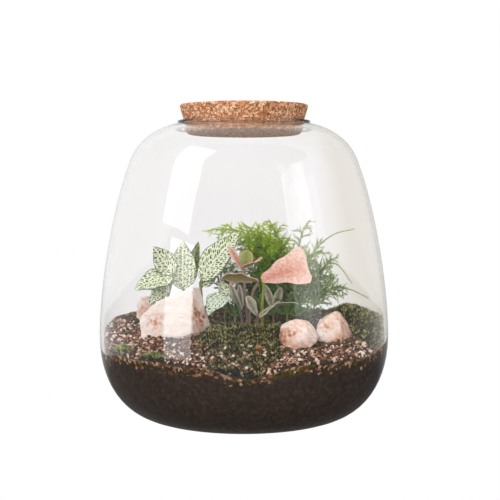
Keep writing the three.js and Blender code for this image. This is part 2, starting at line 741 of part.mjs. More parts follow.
// A spray: a thin rib with needles on both its sides, as one thin blade cut to the rib
function spray(name, at, out, across, length) {
  const place = (s, w) => at.clone().addScaledVector(out, s).addScaledVector(across, w);
  const sides = [-1, 1].map((side) => {
    const points = [flat(0, (side * RIB_WIDTH) / 2)];
    for (let k = 0; k < NEEDLES_A_SPRAY / 2; k += 1) {
      const s = length * (0.16 + (0.3 * side + 0.6 + 1.9 * k) / NEEDLES_A_SPRAY);
      const [ahead, aside] = [s + NEEDLE_REACH[0], side * (NEEDLE_REACH[1] - 0.5 * k)];
      if (s + NEEDLE_WIDTH < length - 1 && hasRoom(name, place(s, 0), place(ahead, aside))) {
        const edge = (side * RIB_WIDTH) / 2;
        points.push(flat(s, edge), flat(ahead, aside), flat(s + NEEDLE_WIDTH, edge));
        for (const share of [0.4, 1]) note(name, place(s + (ahead - s) * share, aside * share), 0.6);
      }
    }
    return points;
  });
  for (let s = 0; s <= length; s += NOTE_STEP) note(name, place(s, 0), 0.5);
  const shape = new THREE.Shape([...sides[0], flat(length, 0), ...sides[1].reverse()]);
  const geometry = new THREE.ExtrudeGeometry(shape, { depth: SPRAY_THICKNESS, bevelEnabled: false });
  geometry.translate(0, 0, -SPRAY_THICKNESS / 2);
  const basis = new THREE.Matrix4().makeBasis(out, across, out.clone().cross(across));
  geometry.applyMatrix4(basis.setPosition(at));
  return solidOf(geometry);
}

function frond(name, { path, solid }, seed) {
  const draw = dice(seed);
  const pieces = [solid];
  for (let i = 0; i < SPRAYS_A_FROND; i += 1) {
    const t = 0.33 + (0.67 * i) / (SPRAYS_A_FROND - 1);
    const [at, along] = [path.getPointAt(t), path.getTangentAt(t)];
    const level = along.clone().cross(point(0, 0, 1)).normalize();
    const last = i === SPRAYS_A_FROND - 1;
    const turn = last ? 0 : (i % 2 ? 1 : -1) * (0.8 + 0.4 * draw());
    const out = level.clone().multiplyScalar(Math.sin(turn)).addScaledVector(along, 0.7);
    out.addScaledVector(point(0, 0, 1), last ? 0 : 0.8 * (draw() - 0.4)).normalize();
    const across = out.clone().cross(along.clone().addScaledVector(level, 0.3)).normalize();
    across.applyAxisAngle(out, Math.PI * (0.25 + 0.5 * draw()));
    let length = SPRAY_LENGTH * (1.15 - 0.6 * t) * (0.85 + 0.3 * draw());
    while (length > 7 && !hasRoom(name, at, at.clone().addScaledVector(out, length))) length *= 0.8;
    if (length > 7) pieces.push(spray(name, at, out, across, length));
  }
  return largest(Manifold.union(pieces));
}

// Plants first: the ground cover is cut round their roots
const plants = [];
for (const [name, spec] of Object.entries(MOSAIC)) {
  plants.push([name, "nettedLeaf", plant(name, { ...spec, radius: MOSAIC_STEM }, netted)]);
}
for (const [name, spec] of Object.entries(PINK)) {
  plants.push([name, spec.finish, plant(name, { ...spec, radius: STALK }, { wave: 0.3 })]);
}
for (const [name, { hills }] of Object.entries(MOSS)) {
  for (const { at: [x, y], reach, height } of hills) {
    note(name, point(x, y, soilZ(x, y)), height + reach[0] / 2);
  }
}
const rachises = Object.entries(FRONDS).map(([name, { root, way }]) => {
  return [name, stem(name, rooted(root, FROND_STEM, ...way), FROND_STEM, 4, 7)];
});
rachises.forEach(([name, rachis], i) => plants.push([name, "fern", frond(name, rachis, 100 + 7 * i)]));

const rootHoles = Manifold.union(roots.map(({ x, y, radius }) => {
  const hole = new THREE.CylinderGeometry(radius + ROOT_GAP, radius + ROOT_GAP, HOLE_HEIGHT, 6);
  hole.rotateX(Math.PI / 2);
  hole.translate(x, y, soilZ(x, y) - ROOT_DEPTH - 2 * GAP + HOLE_HEIGHT / 2);
  return solidOf(hole);
}));

const stones = Object.values(STONES);
const stonesClear = Manifold.union(stones.map((spec) => stone(spec, 2 * GAP)));

addPiece("glass_jar", "glass", glassJar());
addPiece("cork_stopper", "cork", corkStopper());
addPiece("soil", "soil", soilBlock(0).intersect(cavity).subtract(rootHoles));
for (const [name, spec] of Object.entries(STONES)) {
  addPiece(name, "stone", largest(stone(spec).intersect(cavity).subtract(soilClear)));
}

const pebbles = Object.entries(PEBBLES).map(([name, { finish, at: [x, y], size, turn }]) => {
  const lump = (grow) => {
    const geometry = new THREE.IcosahedronGeometry(1, 0);
    geometry.rotateZ(turn);
    geometry.scale(...size.map((s) => s + grow));
    return solidOf(geometry.translate(x, y, soilZ(x, y) + PEBBLE_RISE));
  };
  return { name, finish, lump };
});
const pebblesClear = Manifold.union(pebbles.map(({ lump }) => lump(2 * GAP)));

// Ground cover is cut to the glass, the soil, the stones and the root holes
function laid(solid) {
  return solid.intersect(cavity).subtract(soilClear).subtract(stonesClear).subtract(rootHoles);
}

for (const [name, patch] of Object.entries(MOSS)) {
  addPiece(name, "moss", largest(laid(moss(patch)).subtract(pebblesClear)));
}
for (const { name, finish, lump } of pebbles) addPiece(name, finish, lump(0));

const mossClear = Manifold.union(Object.values(MOSS).map(({ edge }) => columnOver(grown(edge))));
for (const [name, patch] of Object.entries(GRAVEL)) {
  addPiece(name, "gravel", largest(laid(gravel(patch)).subtract(mossClear)));
}
for (const [name, finish, solid] of plants) addPiece(name, finish, solid);

export default terrarium;
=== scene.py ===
# %% [markdown]
# # A planted glass jar
#
# A squat jar of clear glass, closed by a tapered cork. It is filled a quarter high with dark soil, and on
# the soil lie moss, gravel and pale stones. A mosaic plant, a pink-leaved plant and an asparagus fern
# grow out of it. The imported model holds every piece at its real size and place, but plainly. Here each
# one gets its fine shape and its finish, and stays where it is.

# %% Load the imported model
import math
import random

import bpy
import numpy as np
from mathutils import Matrix, Vector, kdtree, noise


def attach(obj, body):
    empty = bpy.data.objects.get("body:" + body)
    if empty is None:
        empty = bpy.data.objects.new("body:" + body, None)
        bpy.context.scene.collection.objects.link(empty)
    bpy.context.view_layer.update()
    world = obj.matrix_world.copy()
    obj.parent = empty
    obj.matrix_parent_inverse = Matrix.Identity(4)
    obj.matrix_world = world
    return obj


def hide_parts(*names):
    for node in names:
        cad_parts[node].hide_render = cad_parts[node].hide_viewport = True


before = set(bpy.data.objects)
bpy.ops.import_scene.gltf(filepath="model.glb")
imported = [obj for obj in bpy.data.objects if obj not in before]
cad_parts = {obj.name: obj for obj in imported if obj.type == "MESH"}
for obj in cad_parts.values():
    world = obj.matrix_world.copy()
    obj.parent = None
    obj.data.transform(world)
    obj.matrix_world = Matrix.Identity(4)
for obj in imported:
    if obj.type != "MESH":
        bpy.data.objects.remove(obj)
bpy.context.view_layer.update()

MM = 0.001
print("pieces in the model:", len(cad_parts))

# %% [markdown]
# ## Selecting, and applying a modifier
#
# An operator acts on all that is selected, and the model has just come in selected. So each step first
# deselects everything and picks its own piece. A modifier could stay live, but applied it gives a mesh
# that later steps can measure and move.

# %% Select one piece, apply a modifier to it, and hand it over
def only(piece):
    """Selects this piece and nothing else."""
    bpy.ops.object.select_all(action="DESELECT")
    piece.select_set(True)
    bpy.context.view_layer.objects.active = piece
    return piece


def apply_modifier(piece, kind, **settings):
    """Adds a modifier with its settings and applies it."""
    modifier = only(piece).modifiers.new(kind, kind)
    for setting, value in settings.items():
        setattr(modifier, setting, value)
    bpy.ops.object.modifier_apply(modifier=modifier.name)


def hand_over(piece, name, nodes=(), materials=()):
    """Names a finished piece, gives it its materials, and lets it stand for model pieces."""
    piece.name = piece.data.name = name
    for material in materials:
        piece.data.materials.append(material)
    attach(piece, "root")
    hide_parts(*nodes)
    triangles = sum(len(face.vertices) - 2 for face in piece.data.polygons)
    print(f"{name}: {triangles} triangles")
    return piece


# %% [markdown]
# ## Colours and nodes
#
# A colour is picked as an sRGB hex value, and the shader reads linear light, so one function turns
# one into the other. Another adds a node with its settings and links, so that a material reads as a list
# of what it is made of.

# %% Colours and nodes
def linear(colour):
    """An sRGB hex colour as the four linear numbers that a shader reads."""
    parts = [int(colour[i:i + 2], 16) / 255 for i in (0, 2, 4)]
    return [p / 12.92 if p <= 0.04045 else ((p + 0.055) / 1.055) ** 2.4 for p in parts] + [1.0]


def output_of(value):
    """A node gives its first output, and anything else stays as it is."""
    return value.outputs[0] if isinstance(value, bpy.types.Node) else value


def add_node(material, kind, inputs=None, stops=None, **settings):
    """Adds a node. An input takes a number, a colour, a node or one of its outputs."""
    tree = material.node_tree
    node = tree.nodes.new("ShaderNode" + kind)
    for setting, value in settings.items():
        setattr(node, setting, value)
    for place, (at, colour) in enumerate((stops or {}).items()):
        elements = node.color_ramp.elements
        element = elements[place] if place < len(elements) else elements.new(at)
        element.position = at
        element.color = linear(colour)
    for socket, given in (inputs or {}).items():
        value = output_of(given)
        if isinstance(value, bpy.types.NodeSocket):
            tree.links.new(value, node.inputs[socket])
        else:
            node.inputs[socket].default_value = value
    return node


def new_material(name, **sockets):
    """A material and its shader, with what is the same all over set on the shader's own sockets."""
    material = bpy.data.materials.new(name)
    material.use_nodes = True
    shader = material.node_tree.nodes["Principled BSDF"]
    for socket, value in sockets.items():
        shader.inputs[socket.replace("_", " ")].default_value = value
    return material, shader


def join_sockets(material, output, shader_input):
    """Links a node or one of its outputs to an input of the shader."""
    material.node_tree.links.new(output_of(output), shader_input)


# %% [markdown]
# ## The jar's glass
#
# The jar is one blown body of soda-lime glass: a flat base, a tight heel, a side that leans in, a round
# shoulder and a short lip that was melted round. It could be a cylinder pulled into shape, but a blown
# jar is round about its axis, so its outline is drawn once and spun. The outline runs up the outside,
# over the lip and down the inside, a wall's thickness within, so that light bends as in real glass.

# %% The jar's outline
WALL = 3
BASE_RADIUS = 78
BASE_THICKNESS = 6
HEEL = [(BASE_RADIUS, 0), (106, 4), (125, 32), (125, 70)]
SIDE = [(125, 70), (125, 108), (115, 175), (99.5, 217)]
SHOULDER = [(99.5, 217), (96, 229), (86, 246), (60, 252.4)]
CURVE_STEPS = [(HEEL, 14), (SIDE, 16), (SHOULDER, 12)]
LIP_HEIGHT = 255.6
CORK_TOP = 269
CORK_BOTTOM = 246
CORK_RADIUS = 55.8
CORK_TAPER = 0.29
SEAT_GAP = 0.3


def cork_radius(height):
    """How wide the tapered cork is at a height."""
    return CORK_RADIUS - CORK_TAPER * (CORK_TOP - height)


def on_curve(corners, t):
    """The place and the direction at a share t of a cubic curve."""
    a, b, c, d = [Vector(corner) for corner in corners]
    s = 1 - t
    place = s**3 * a + 3 * s * s * t * b + 3 * s * t * t * c + t**3 * d
    along = s * s * (b - a) + 2 * s * t * (c - b) + t * t * (d - c)
    return place, along.normalized()


def wall_outline(inset):
    """Points of the outline as (radius, height), moved inwards."""
    points = []
    for number, (corners, steps) in enumerate(CURVE_STEPS):
        for step in range(1 if number else 0, steps + 1):
            place, along = on_curve(corners, step / steps)
            points.append((place.x - along.y * inset, place.y + along.x * inset))
    return points


INNER_WALL = [p for p in wall_outline(WALL) if p[1] > BASE_THICKNESS + 1.5]
INNER_HEIGHTS = [height for radius, height in INNER_WALL]
INNER_RADII = [radius for radius, height in INNER_WALL]


def inner_radius(height):
    """How far the inside of the glass is from the axis at a height, in millimetres."""
    return float(np.interp(height, INNER_HEIGHTS, INNER_RADII))


print("inside the glass at 60 mm:", round(inner_radius(60), 1), "mm")

# %% Spin the jar
def spin_outline(outline, steps):
    """A closed round body from an outline of (radius, height) points in millimetres."""
    bpy.ops.object.select_all(action="DESELECT")
    bpy.ops.mesh.primitive_circle_add(vertices=len(outline), radius=1)
    piece = bpy.context.object
    for vertex, (radius, height) in zip(piece.data.vertices, outline):
        vertex.co = (radius * MM, 0, height * MM)
    bpy.ops.object.mode_set(mode="EDIT")
    bpy.ops.mesh.select_all(action="SELECT")
    bpy.ops.mesh.spin(steps=steps, angle=math.tau, center=(0, 0, 0), axis=(0, 0, 1))
    bpy.ops.mesh.select_all(action="SELECT")
    bpy.ops.mesh.remove_doubles(threshold=0.01 * MM)
    bpy.ops.mesh.normals_make_consistent(inside=False)
    bpy.ops.object.mode_set(mode="OBJECT")
    bpy.ops.object.shade_smooth()
    return piece


mouth = cork_radius(LIP_HEIGHT) + SEAT_GAP
LIP_RADIUS = 57.4
lip = [
    (LIP_RADIUS - 1.2, 252.9),
    (LIP_RADIUS - 0.3, 253.6),
    (LIP_RADIUS, 254.4),
    (LIP_RADIUS - 0.4, 255.1),
    (LIP_RADIUS - 1.4, 255.5),
    (LIP_RADIUS - 2.6, LIP_HEIGHT),
    (mouth + 1.4, LIP_HEIGHT - 0.1),
    (mouth + 0.5, LIP_HEIGHT - 0.5),
    (mouth, LIP_HEIGHT - 1.3),
    (mouth, 250.6),
    (mouth + 0.4, 249.7),
]
jar_outline = [(0, 0), (BASE_RADIUS / 2, 0), *wall_outline(0), *lip, *INNER_WALL[::-1]]
jar_outline += [(BASE_RADIUS - 1, BASE_THICKNESS), (BASE_RADIUS / 2, BASE_THICKNESS), (0, BASE_THICKNESS)]
jar = spin_outline(jar_outline, 144)

# %% [markdown]
# Real glass lets light straight through to what it holds, but a renderer finds light through a bent
# surface only by luck. So a shadow ray meets plain transparency, and the eye meets true glass, with its
# reflections and its bent edges. It is nearly colourless: the eye looks through four walls, and what each
# one takes away adds up.

# %% Blown soda-lime glass
glass, glass_shader = new_material("Blown soda-lime glass", Base_Color=linear("fdfcfc"), Roughness=0.0,
                                   IOR=1.46, Transmission_Weight=1.0)
ray = add_node(glass, "LightPath")
clear = add_node(glass, "BsdfTransparent", {"Color": linear("f4f5f4")})
through = add_node(glass, "MixShader", {0: ray.outputs["Is Shadow Ray"], 1: glass_shader, 2: clear})
join_sockets(glass, through, glass.node_tree.nodes["Material Output"].inputs["Surface"])
hand_over(jar, "jar", ["glass_jar"], [glass])

# %% [markdown]
# ## The cork
#
# The stopper is agglomerated cork: bark ground to granules of about 2 mm and pressed with a binder. Its
# look comes from the granules, each of its own tan, and from the dark seams between them. A bump map would
# leave the edge of the cork smooth, so the body is remeshed finely and its seams are really sunk. One
# cellular noise gives both the seams' depth and each granule's own shade, so they cannot drift apart.

# %% Numbers painted on a mesh
def paint(piece, name, values):
    """Stores one number for each vertex, which a material reads by name."""
    attribute = piece.data.attributes.new(name, "FLOAT", "POINT")
    attribute.data.foreach_set("value", np.asarray(values, np.float32))


def painted(material, name):
    """The output that reads a painted number."""
    return add_node(material, "Attribute", attribute_name=name).outputs["Fac"]


def push_out(piece, distances):
    """Moves each vertex along its normal by a number of millimetres."""
    normals = [vertex.normal.copy() for vertex in piece.data.vertices]
    for vertex, normal, distance in zip(piece.data.vertices, normals, distances):
        vertex.co += normal * distance * MM


def cell_of(place, size):
    """Which cell of a cellular noise a place lies in, as a number from 0 to 1, and how near a seam."""
    distances, centres = noise.voronoi(place / size)
    centre = centres[0]
    shade = 0.5 + 0.5 * math.sin(91.7 * centre.x + 53.3 * centre.y + 37.9 * centre.z)
    return shade, distances[1] - distances[0]


# %% Shape the cork
GRANULE = 1.8 * MM
SEAM_WIDTH = 0.22
SEAM_DEPTH = 0.35
CHAMFER = 0.9
cork_outline = [
    (0, CORK_BOTTOM),
    (cork_radius(CORK_BOTTOM) - CHAMFER, CORK_BOTTOM),
    (cork_radius(CORK_BOTTOM + CHAMFER), CORK_BOTTOM + CHAMFER),
    (cork_radius(CORK_TOP - CHAMFER), CORK_TOP - CHAMFER),
    (CORK_RADIUS - CHAMFER, CORK_TOP),
    (0, CORK_TOP),
]
cork = spin_outline(cork_outline, 128)
apply_modifier(cork, "REMESH", mode="VOXEL", voxel_size=1.2 * MM)
apply_modifier(cork, "SMOOTH", factor=0.5, iterations=2)
cells = [cell_of(vertex.co, GRANULE) for vertex in cork.data.vertices]
push_out(cork, [-SEAM_DEPTH * max(0, 1 - seam / SEAM_WIDTH) for shade, seam in cells])
paint(cork, "granule", [shade for shade, seam in cells])
paint(cork, "seam", [seam for shade, seam in cells])
only(cork)
bpy.ops.object.shade_smooth()

# %% Agglomerated cork
pressed_cork, cork_shader = new_material("Agglomerated cork", Roughness=0.85)
body = add_node(pressed_cork, "TexCoord").outputs["Object"]
bark = add_node(pressed_cork, "TexNoise",
                {"Vector": body, "Scale": 1 / (0.9 * MM), "Detail": 3.0, "Roughness": 0.6})
mottle = add_node(pressed_cork, "Math", {0: painted(pressed_cork, "granule"), 1: bark}, operation="ADD")
share = add_node(pressed_cork, "MapRange", {"Value": mottle, "From Min": 0.25, "From Max": 1.7})
tan = add_node(pressed_cork, "ValToRGB", {"Fac": share},
               stops={0: "7a4021", 0.3: "c7804f", 0.62: "ebb084", 1: "ffe4c8"})
speck = add_node(pressed_cork, "TexNoise", {"Vector": body, "Scale": 1 / (0.8 * MM), "Detail": 1.0})
pore = add_node(pressed_cork, "MapRange", {"Value": speck, "From Min": 0.37, "From Max": 0.45})
pored = add_node(pressed_cork, "MixRGB", {"Fac": pore, "Color1": linear("4f2712"), "Color2": tan})
open_seam = add_node(pressed_cork, "MapRange",
                     {"Value": painted(pressed_cork, "seam"), "From Max": SEAM_WIDTH, "To Min": 0.25})
cork_colour = add_node(pressed_cork, "MixRGB",
                       {"Fac": open_seam, "Color1": linear("44230f"), "Color2": pored})
join_sockets(pressed_cork, cork_colour, cork_shader.inputs["Base Color"])
grain = add_node(pressed_cork, "Bump", {"Height": bark, "Strength": 0.5, "Distance": 0.4 * MM})
join_sockets(pressed_cork, grain, cork_shader.inputs["Normal"])
hand_over(cork, "cork", ["cork_stopper"], [pressed_cork])

# %% [markdown]
# ## The soil
#
# Dark peaty soil fills the bottom of the jar. It is banked up towards the back, with a dip at the middle
# of the front. Seen through the glass it is one dark body, so it starts from a sphere: the upper rings
# are laid out as the soil's surface, the next ones run down the glass, and the last ones close the floor.
# Damp soil clings to the glass with no air between, which is why the glass seems to be full of it right out
# to its edge. So the soil goes a quarter of a millimetre into the wall. Round the front, grains and bits of
# moss have slipped down along the glass. They are pressed flat against it, so they are only colour: the
# soil's mesh is painted with how far a place is sunk below the ground cover, and bits get rarer with it.

# %% Where the soil's surface is
SOIL_FRONT = 61.5
SOIL_RISE = 18.5
SLOPE_START = -95
SLOPE_LENGTH = 140
FRONT_DIP = 9.5
BACK_HEAP = 4
GRAVEL_WEDGE = 9


def hill(x, y, top, reach):
    """A smooth hill of height 1, which falls away over its reach along X and Y."""
    return math.exp(-((x - top[0]) / reach[0]) ** 2 - ((y - top[1]) / reach[1]) ** 2)


def gravel_wedge(x, y):
    """How much deeper the gravel lies against the left wall."""
    return GRAVEL_WEDGE * hill(x, y, (-120, -35), (20, 42))


def soil_height(x, y):
    """The height of the soil at a place, all in millimetres."""
    t = min(1, max(0, (y - SLOPE_START) / SLOPE_LENGTH))
    climb = t * t * (3 - 2 * t)
    dip = FRONT_DIP * math.exp(-((x - 3) / 25) ** 2) * (1 - climb) ** 2
    heap = BACK_HEAP * hill(x, y, (-100, 25), (24, 30))
    lumps = 1.1 * math.sin(0.11 * x + 0.4) * math.cos(0.09 * y)
    return SOIL_FRONT + SOIL_RISE * climb - dip + heap - gravel_wedge(x, y) + lumps


# %% Shape the soil
TOP_SHARE = 0.5
FLOOR_SHARE = 0.88
DAMP_BITE = 0.25
COARSENESS = 1.3
FRINGE = 8
FRINGE_BACK = -20
bpy.ops.object.select_all(action="DESELECT")
bpy.ops.mesh.primitive_uv_sphere_add(segments=160, ring_count=80, radius=1)
soil = bpy.context.object


def soil_place(direction):
    """Where a point of the round start goes, by its share of the way from the top pole to the bottom."""
    share = math.acos(max(-1, min(1, direction.z))) / math.pi
    turn = math.atan2(direction.y, direction.x)
    rim = SOIL_FRONT
    for attempt in range(4):
        radius = inner_radius(rim) + DAMP_BITE
        rim = soil_height(radius * math.cos(turn), radius * math.sin(turn))
    height = rim
    if share < TOP_SHARE:
        radius *= share / TOP_SHARE
        height = soil_height(radius * math.cos(turn), radius * math.sin(turn))
        place = Vector((radius * math.cos(turn), radius * math.sin(turn), height))
        return place + Vector((0, 0, COARSENESS * noise.fractal(place / 5, 0.8, 2, 4)))
    if share < FLOOR_SHARE:
        height += (BASE_THICKNESS - DAMP_BITE - rim) * (share - TOP_SHARE) / (FLOOR_SHARE - TOP_SHARE)
        radius = inner_radius(height) + DAMP_BITE
    else:
        height = BASE_THICKNESS - DAMP_BITE
        radius = (inner_radius(height) + DAMP_BITE) * (1 - share) / (1 - FLOOR_SHARE)
    return Vector((radius * math.cos(turn), radius * math.sin(turn), height))


def sunk_at(place):
    """How far below the front edge of the ground cover a place against the glass lies, up to 1."""
    at_wall = math.hypot(place.x, place.y) > inner_radius(place.z) - 0.5
    if not at_wall or place.y > FRINGE_BACK:
        return 1
    return min(1, max(0, soil_height(place.x, place.y) - place.z) / FRINGE)


for vertex in soil.data.vertices:
    vertex.co = soil_place(vertex.co) * MM
paint(soil, "sunk", [sunk_at(vertex.co / MM) for vertex in soil.data.vertices])
only(soil)
bpy.ops.object.shade_smooth()

# %% Peaty potting soil
# Crumbs of 1 to 4 mm read as a fine mottle of dark browns, with a few pale flecks of bark. The bits that
# are pressed on the glass are 2.4 mm across, some of moss and some of stone.
peat, peat_shader = new_material("Peaty potting soil", Roughness=0.95, Specular_IOR_Level=0.15)
ground = add_node(peat, "TexCoord").outputs["Object"]
crumb = add_node(peat, "TexNoise",
                 {"Vector": ground, "Scale": 1 / (3.5 * MM), "Detail": 6.0, "Roughness": 0.7})
earth = add_node(peat, "ValToRGB", {"Fac": crumb},
                 stops={0.3: "342c27", 0.52: "443933", 0.68: "54483f", 0.8: "6b5c4f"})
fibre = add_node(peat, "TexVoronoi", {"Vector": ground, "Scale": 1 / (4.5 * MM)})
fleck = add_node(peat, "MapRange", {"Value": fibre, "From Min": 0.1, "From Max": 0.05, "To Max": 0.22})
speckled = add_node(peat, "MixRGB", {"Fac": fleck, "Color1": earth, "Color2": linear("a08a74")})
bits = add_node(peat, "TexVoronoi", {"Vector": ground, "Scale": 1 / (2.4 * MM)})
kinds = add_node(peat, "SeparateXYZ", {0: bits.outputs["Color"]})
reach = add_node(peat, "MapRange", {"Value": painted(peat, "sunk"), "To Min": 0.9, "To Max": 0.0})
pressed = add_node(peat, "Math", {0: kinds.outputs["X"], 1: reach}, operation="LESS_THAN")
bit_colour = add_node(peat, "ValToRGB", {"Fac": kinds.outputs["Y"]},
                      stops={0: "2a2611", 0.35: "5c5627", 0.5: "5e3d2b", 0.75: "9a7056", 1: "cba78f"})
fringed = add_node(peat, "MixRGB", {"Fac": pressed, "Color1": speckled, "Color2": bit_colour})
join_sockets(peat, fringed, peat_shader.inputs["Base Color"])
rough = add_node(peat, "Bump", {"Height": crumb, "Strength": 0.7, "Distance": 1.5 * MM})
join_sockets(peat, rough, peat_shader.inputs["Normal"])
hand_over(soil, "soil_body", ["soil"], [peat])

# %% [markdown]
# ## Copies of one small shape
#
# Moss, gravel, crumbs and fern needles are thousands of small things of a few faces each. Each is modelled
# once as a little mesh, and one function lays copies of it at given places and turns, as one mesh. The
# copies are real mesh and not instances. Each copy is painted with a shade of its own, and each of its
# vertices with how far up the copy it is, so that a material can tell the copies, and a tip from a base.

# %% Lay copies of small shapes
def pick_up(piece):
    """Takes a small shape's vertices and faces, and removes it."""
    points = np.array([[*vertex.co, 1] for vertex in piece.data.vertices])
    faces = np.array([list(face.vertices) for face in piece.data.polygons])
    bpy.data.objects.remove(piece)
    return points, faces


def placed(at, direction, size, roll=0.0):
    """Where a copy goes: its foot, the way its Z axis looks, its size along X, Y and Z, and its roll."""
    turn = direction.to_track_quat("Z", "Y").to_matrix().to_4x4()
    return Matrix.Translation(at) @ turn @ Matrix.Rotation(roll, 4, "Z") @ Matrix.Diagonal((*size, 1))


def lay_copies(shapes, places, seed):
    """One mesh with a copy at each place, taking the small shapes in turn."""
    draw = np.random.default_rng(seed)
    points, faces, shades, tips = [], [], [], []
    first = 0
    for number, (shape, corners) in enumerate(shapes):
        spots = np.array([[row[:] for row in place] for place in places[number::len(shapes)]])
        copies = len(spots)
        points.append(np.einsum("cij,vj->cvi", spots, shape)[:, :, :3].reshape(-1, 3))
        starts = first + len(shape) * np.arange(copies)
        faces += (corners[None] + starts[:, None, None]).reshape(-1, corners.shape[1]).tolist()
        shades.append(np.repeat(draw.random(copies), len(shape)))
        heights = (shape[:, 2] - shape[:, 2].min()) / np.ptp(shape[:, 2])
        tips.append(np.tile(heights, copies))
        first += len(shape) * copies
    mesh = bpy.data.meshes.new("copies")
    mesh.from_pydata(np.concatenate(points).tolist(), [], faces)
    piece = bpy.data.objects.new("copies", mesh)
    bpy.context.collection.objects.link(piece)
    paint(piece, "shade", np.concatenate(shades))
    paint(piece, "tip", np.concatenate(tips))
    return piece


def fuse(pieces):
    """Joins pieces into the first one."""
    bpy.ops.object.select_all(action="DESELECT")
    for piece in pieces:
        piece.select_set(True)
    bpy.context.view_layer.objects.active = pieces[0]
    bpy.ops.object.join()
    return pieces[0]


# %% A few lumps for crumbs and gravel
def small_lump(seed, roughness):
    """A grain of 20 faces, 1 across, with its corners pushed about."""
    bpy.ops.mesh.primitive_ico_sphere_add(subdivisions=1, radius=0.5)
    lump = bpy.context.object
    for vertex in lump.data.vertices:
        vertex.co *= 1 + roughness * noise.noise(vertex.co * 3 + Vector((seed, 0, 0)))
    return pick_up(lump)


LUMPS = [small_lump(seed, 0.9) for seed in (3.1, 7.4, 11.9, 17.3, 23.8)]
print("lumps:", len(LUMPS), "of", len(LUMPS[0][1]), "faces")

# %% [markdown]
# ## Crumbs on the soil
#
# Where no moss or gravel lies, the soil shows as loose crumbs, most of all on the heap at the back left.
# The edges of the moss and gravel patches are plain outlines on the ground, so a crumb that falls inside
# one of them is left out.

# %% Outlines of the ground cover
PATCHES = {
    "moss_carpet": [
        (-20, 6), (-36, 2), (-33, -16), (-39, -42), (-34, -66), (-25, -82), (-27, -102), (-19, -124),
        (10, -124), (15, -104), (22, -86), (34, -70), (30, -54), (36, -26), (40, -6), (31, 3), (21, -5),
        (12, -9), (3, -7), (-6, 3),
    ],
    "moss_right": [
        (76, 42), (73, 20), (79, -2), (91, -20), (98, -40), (110, -56), (126, -44), (128, 8), (112, 50),
        (90, 56),
    ],
    "gravel_left": [
        (-124, 0), (-108, 6), (-90, 2), (-78, -20), (-62, -38), (-46, -58), (-50, -116), (-84, -104),
        (-116, -60),
    ],
    "gravel_right": [
        (12, -124), (18, -98), (30, -76), (34, -66), (62, -64), (84, -48), (96, -40), (108, -58),
        (92, -88), (50, -118),
    ],
}


def in_outline(edge, x, y):
    """Whether a place is inside an outline."""
    inside = False
    for (ax, ay), (bx, by) in zip(edge, edge[1:] + edge[:1]):
        if (ay > y) != (by > y) and x < (bx - ax) * (y - ay) / (by - ay) + ax:
            inside = not inside
    return inside


# %% Scatter the crumbs
def any_way(draw):
    """A direction at random."""
    return Vector((draw.gauss(0, 1), draw.gauss(0, 1), draw.gauss(0, 1)))


draw = random.Random(5)
crumb_places = []
while len(crumb_places) < 2600:
    x, y = draw.uniform(-120, 120), draw.uniform(-120, 120)
    size = 1.2 + 3.4 * draw.random() ** 3
    height = soil_height(x, y) + 0.3 * size * draw.uniform(-1, 1.4)
    bare = not any(in_outline(edge, x, y) for edge in PATCHES.values())
    if bare and math.hypot(x, y) < inner_radius(height) - 0.7 * size:
        way = any_way(draw)
        sizes = [size * MM * draw.uniform(0.7, 1.2) for axis in "xyz"]
        crumb_places.append(placed(Vector((x, y, height)) * MM, way, sizes))
crumbs = lay_copies(LUMPS, crumb_places, 5)
hand_over(crumbs, "soil_crumbs", [], [peat])

# %% [markdown]
# ## Stones
#
# The stones are split pieces of a pale calcite, pink-white inside and stained tan by iron on the old
# outer faces, with faint bands. A few small dark spots are painted shade, standing for pits. Their big
# flats are the model's own, so each starts from a copy of its model piece. The copy is remeshed finely,
# its sharp edges are worn a little, and its faces are chipped by noise.

# %% Copy a model piece
def copy_of(node):
    """A merged copy of a model piece, free to be shaped."""
    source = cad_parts[node]
    piece = bpy.data.objects.new("copy", source.data.copy())
    bpy.context.collection.objects.link(piece)
    piece.data.materials.clear()
    only(piece)
    bpy.ops.object.mode_set(mode="EDIT")
    bpy.ops.mesh.select_all(action="SELECT")
    bpy.ops.mesh.remove_doubles(threshold=0.01 * MM)
    bpy.ops.object.mode_set(mode="OBJECT")
    return piece


# %% Chip and stain the stones
# "base" is how rusty a stone is all over, and "warm" is the way that its stained faces look. "spots" are
# rust spots, as X, Y, Z and reach in millimetres, and "rust" is how strong they are.
STONES = {
    "stone_slab": {
        "base": -0.42,
        "rust": 0.72,
        "warm": (0.85, -0.1, -0.5),
        "spots": [(-73, -30, 87, 7), (-79, -31, 78, 8), (-44, -20, 92, 6), (-36, -15, 84, 8)],
    },
    "stone_back": {"base": -0.1, "warm": (0.9, 0.3, 0.1), "spots": [(-86, 13, 88, 6)]},
    "stone_round": {
        "base": -0.04,
        "warm": (-0.7, -0.2, -0.4),
        "spots": [(44, -54, 80, 5), (38, -52, 78, 4), (33, -46, 72, 8)],
    },
    "stone_angular": {"base": -0.06, "warm": (0.8, 0.1, 0.1), "spots": [(69, -33, 82, 5), (77, -36, 66, 8)]},
}


def chip(place):
    """How far a stone's surface is pushed out or in at a place, in millimetres."""
    facets = noise.voronoi(place / 9)[0][0] - 0.45
    grit = noise.fractal(place / 2.2, 0.9, 2, 3)
    bedding = math.sin(place.z / 1.6 + 2.5 * noise.noise(place / 12))
    return 0.9 * facets + 0.4 * grit + 0.15 * bedding


def stain_at(place, normal, base, warm, spots, rust=0.44):
    """How rusty a stone is at a place, from 0 to about 1."""
    facing = max(0, normal.dot(Vector(warm).normalized()))
    cloud = noise.fractal(place / 14, 0.8, 2, 3)
    spotted = sum(math.exp(-((place - Vector(spot[:3])).length / spot[3]) ** 2) for spot in spots)
    return base + 0.48 * facing ** 1.5 + 0.3 * cloud + rust * spotted * (0.7 + noise.noise(place / 2.5))


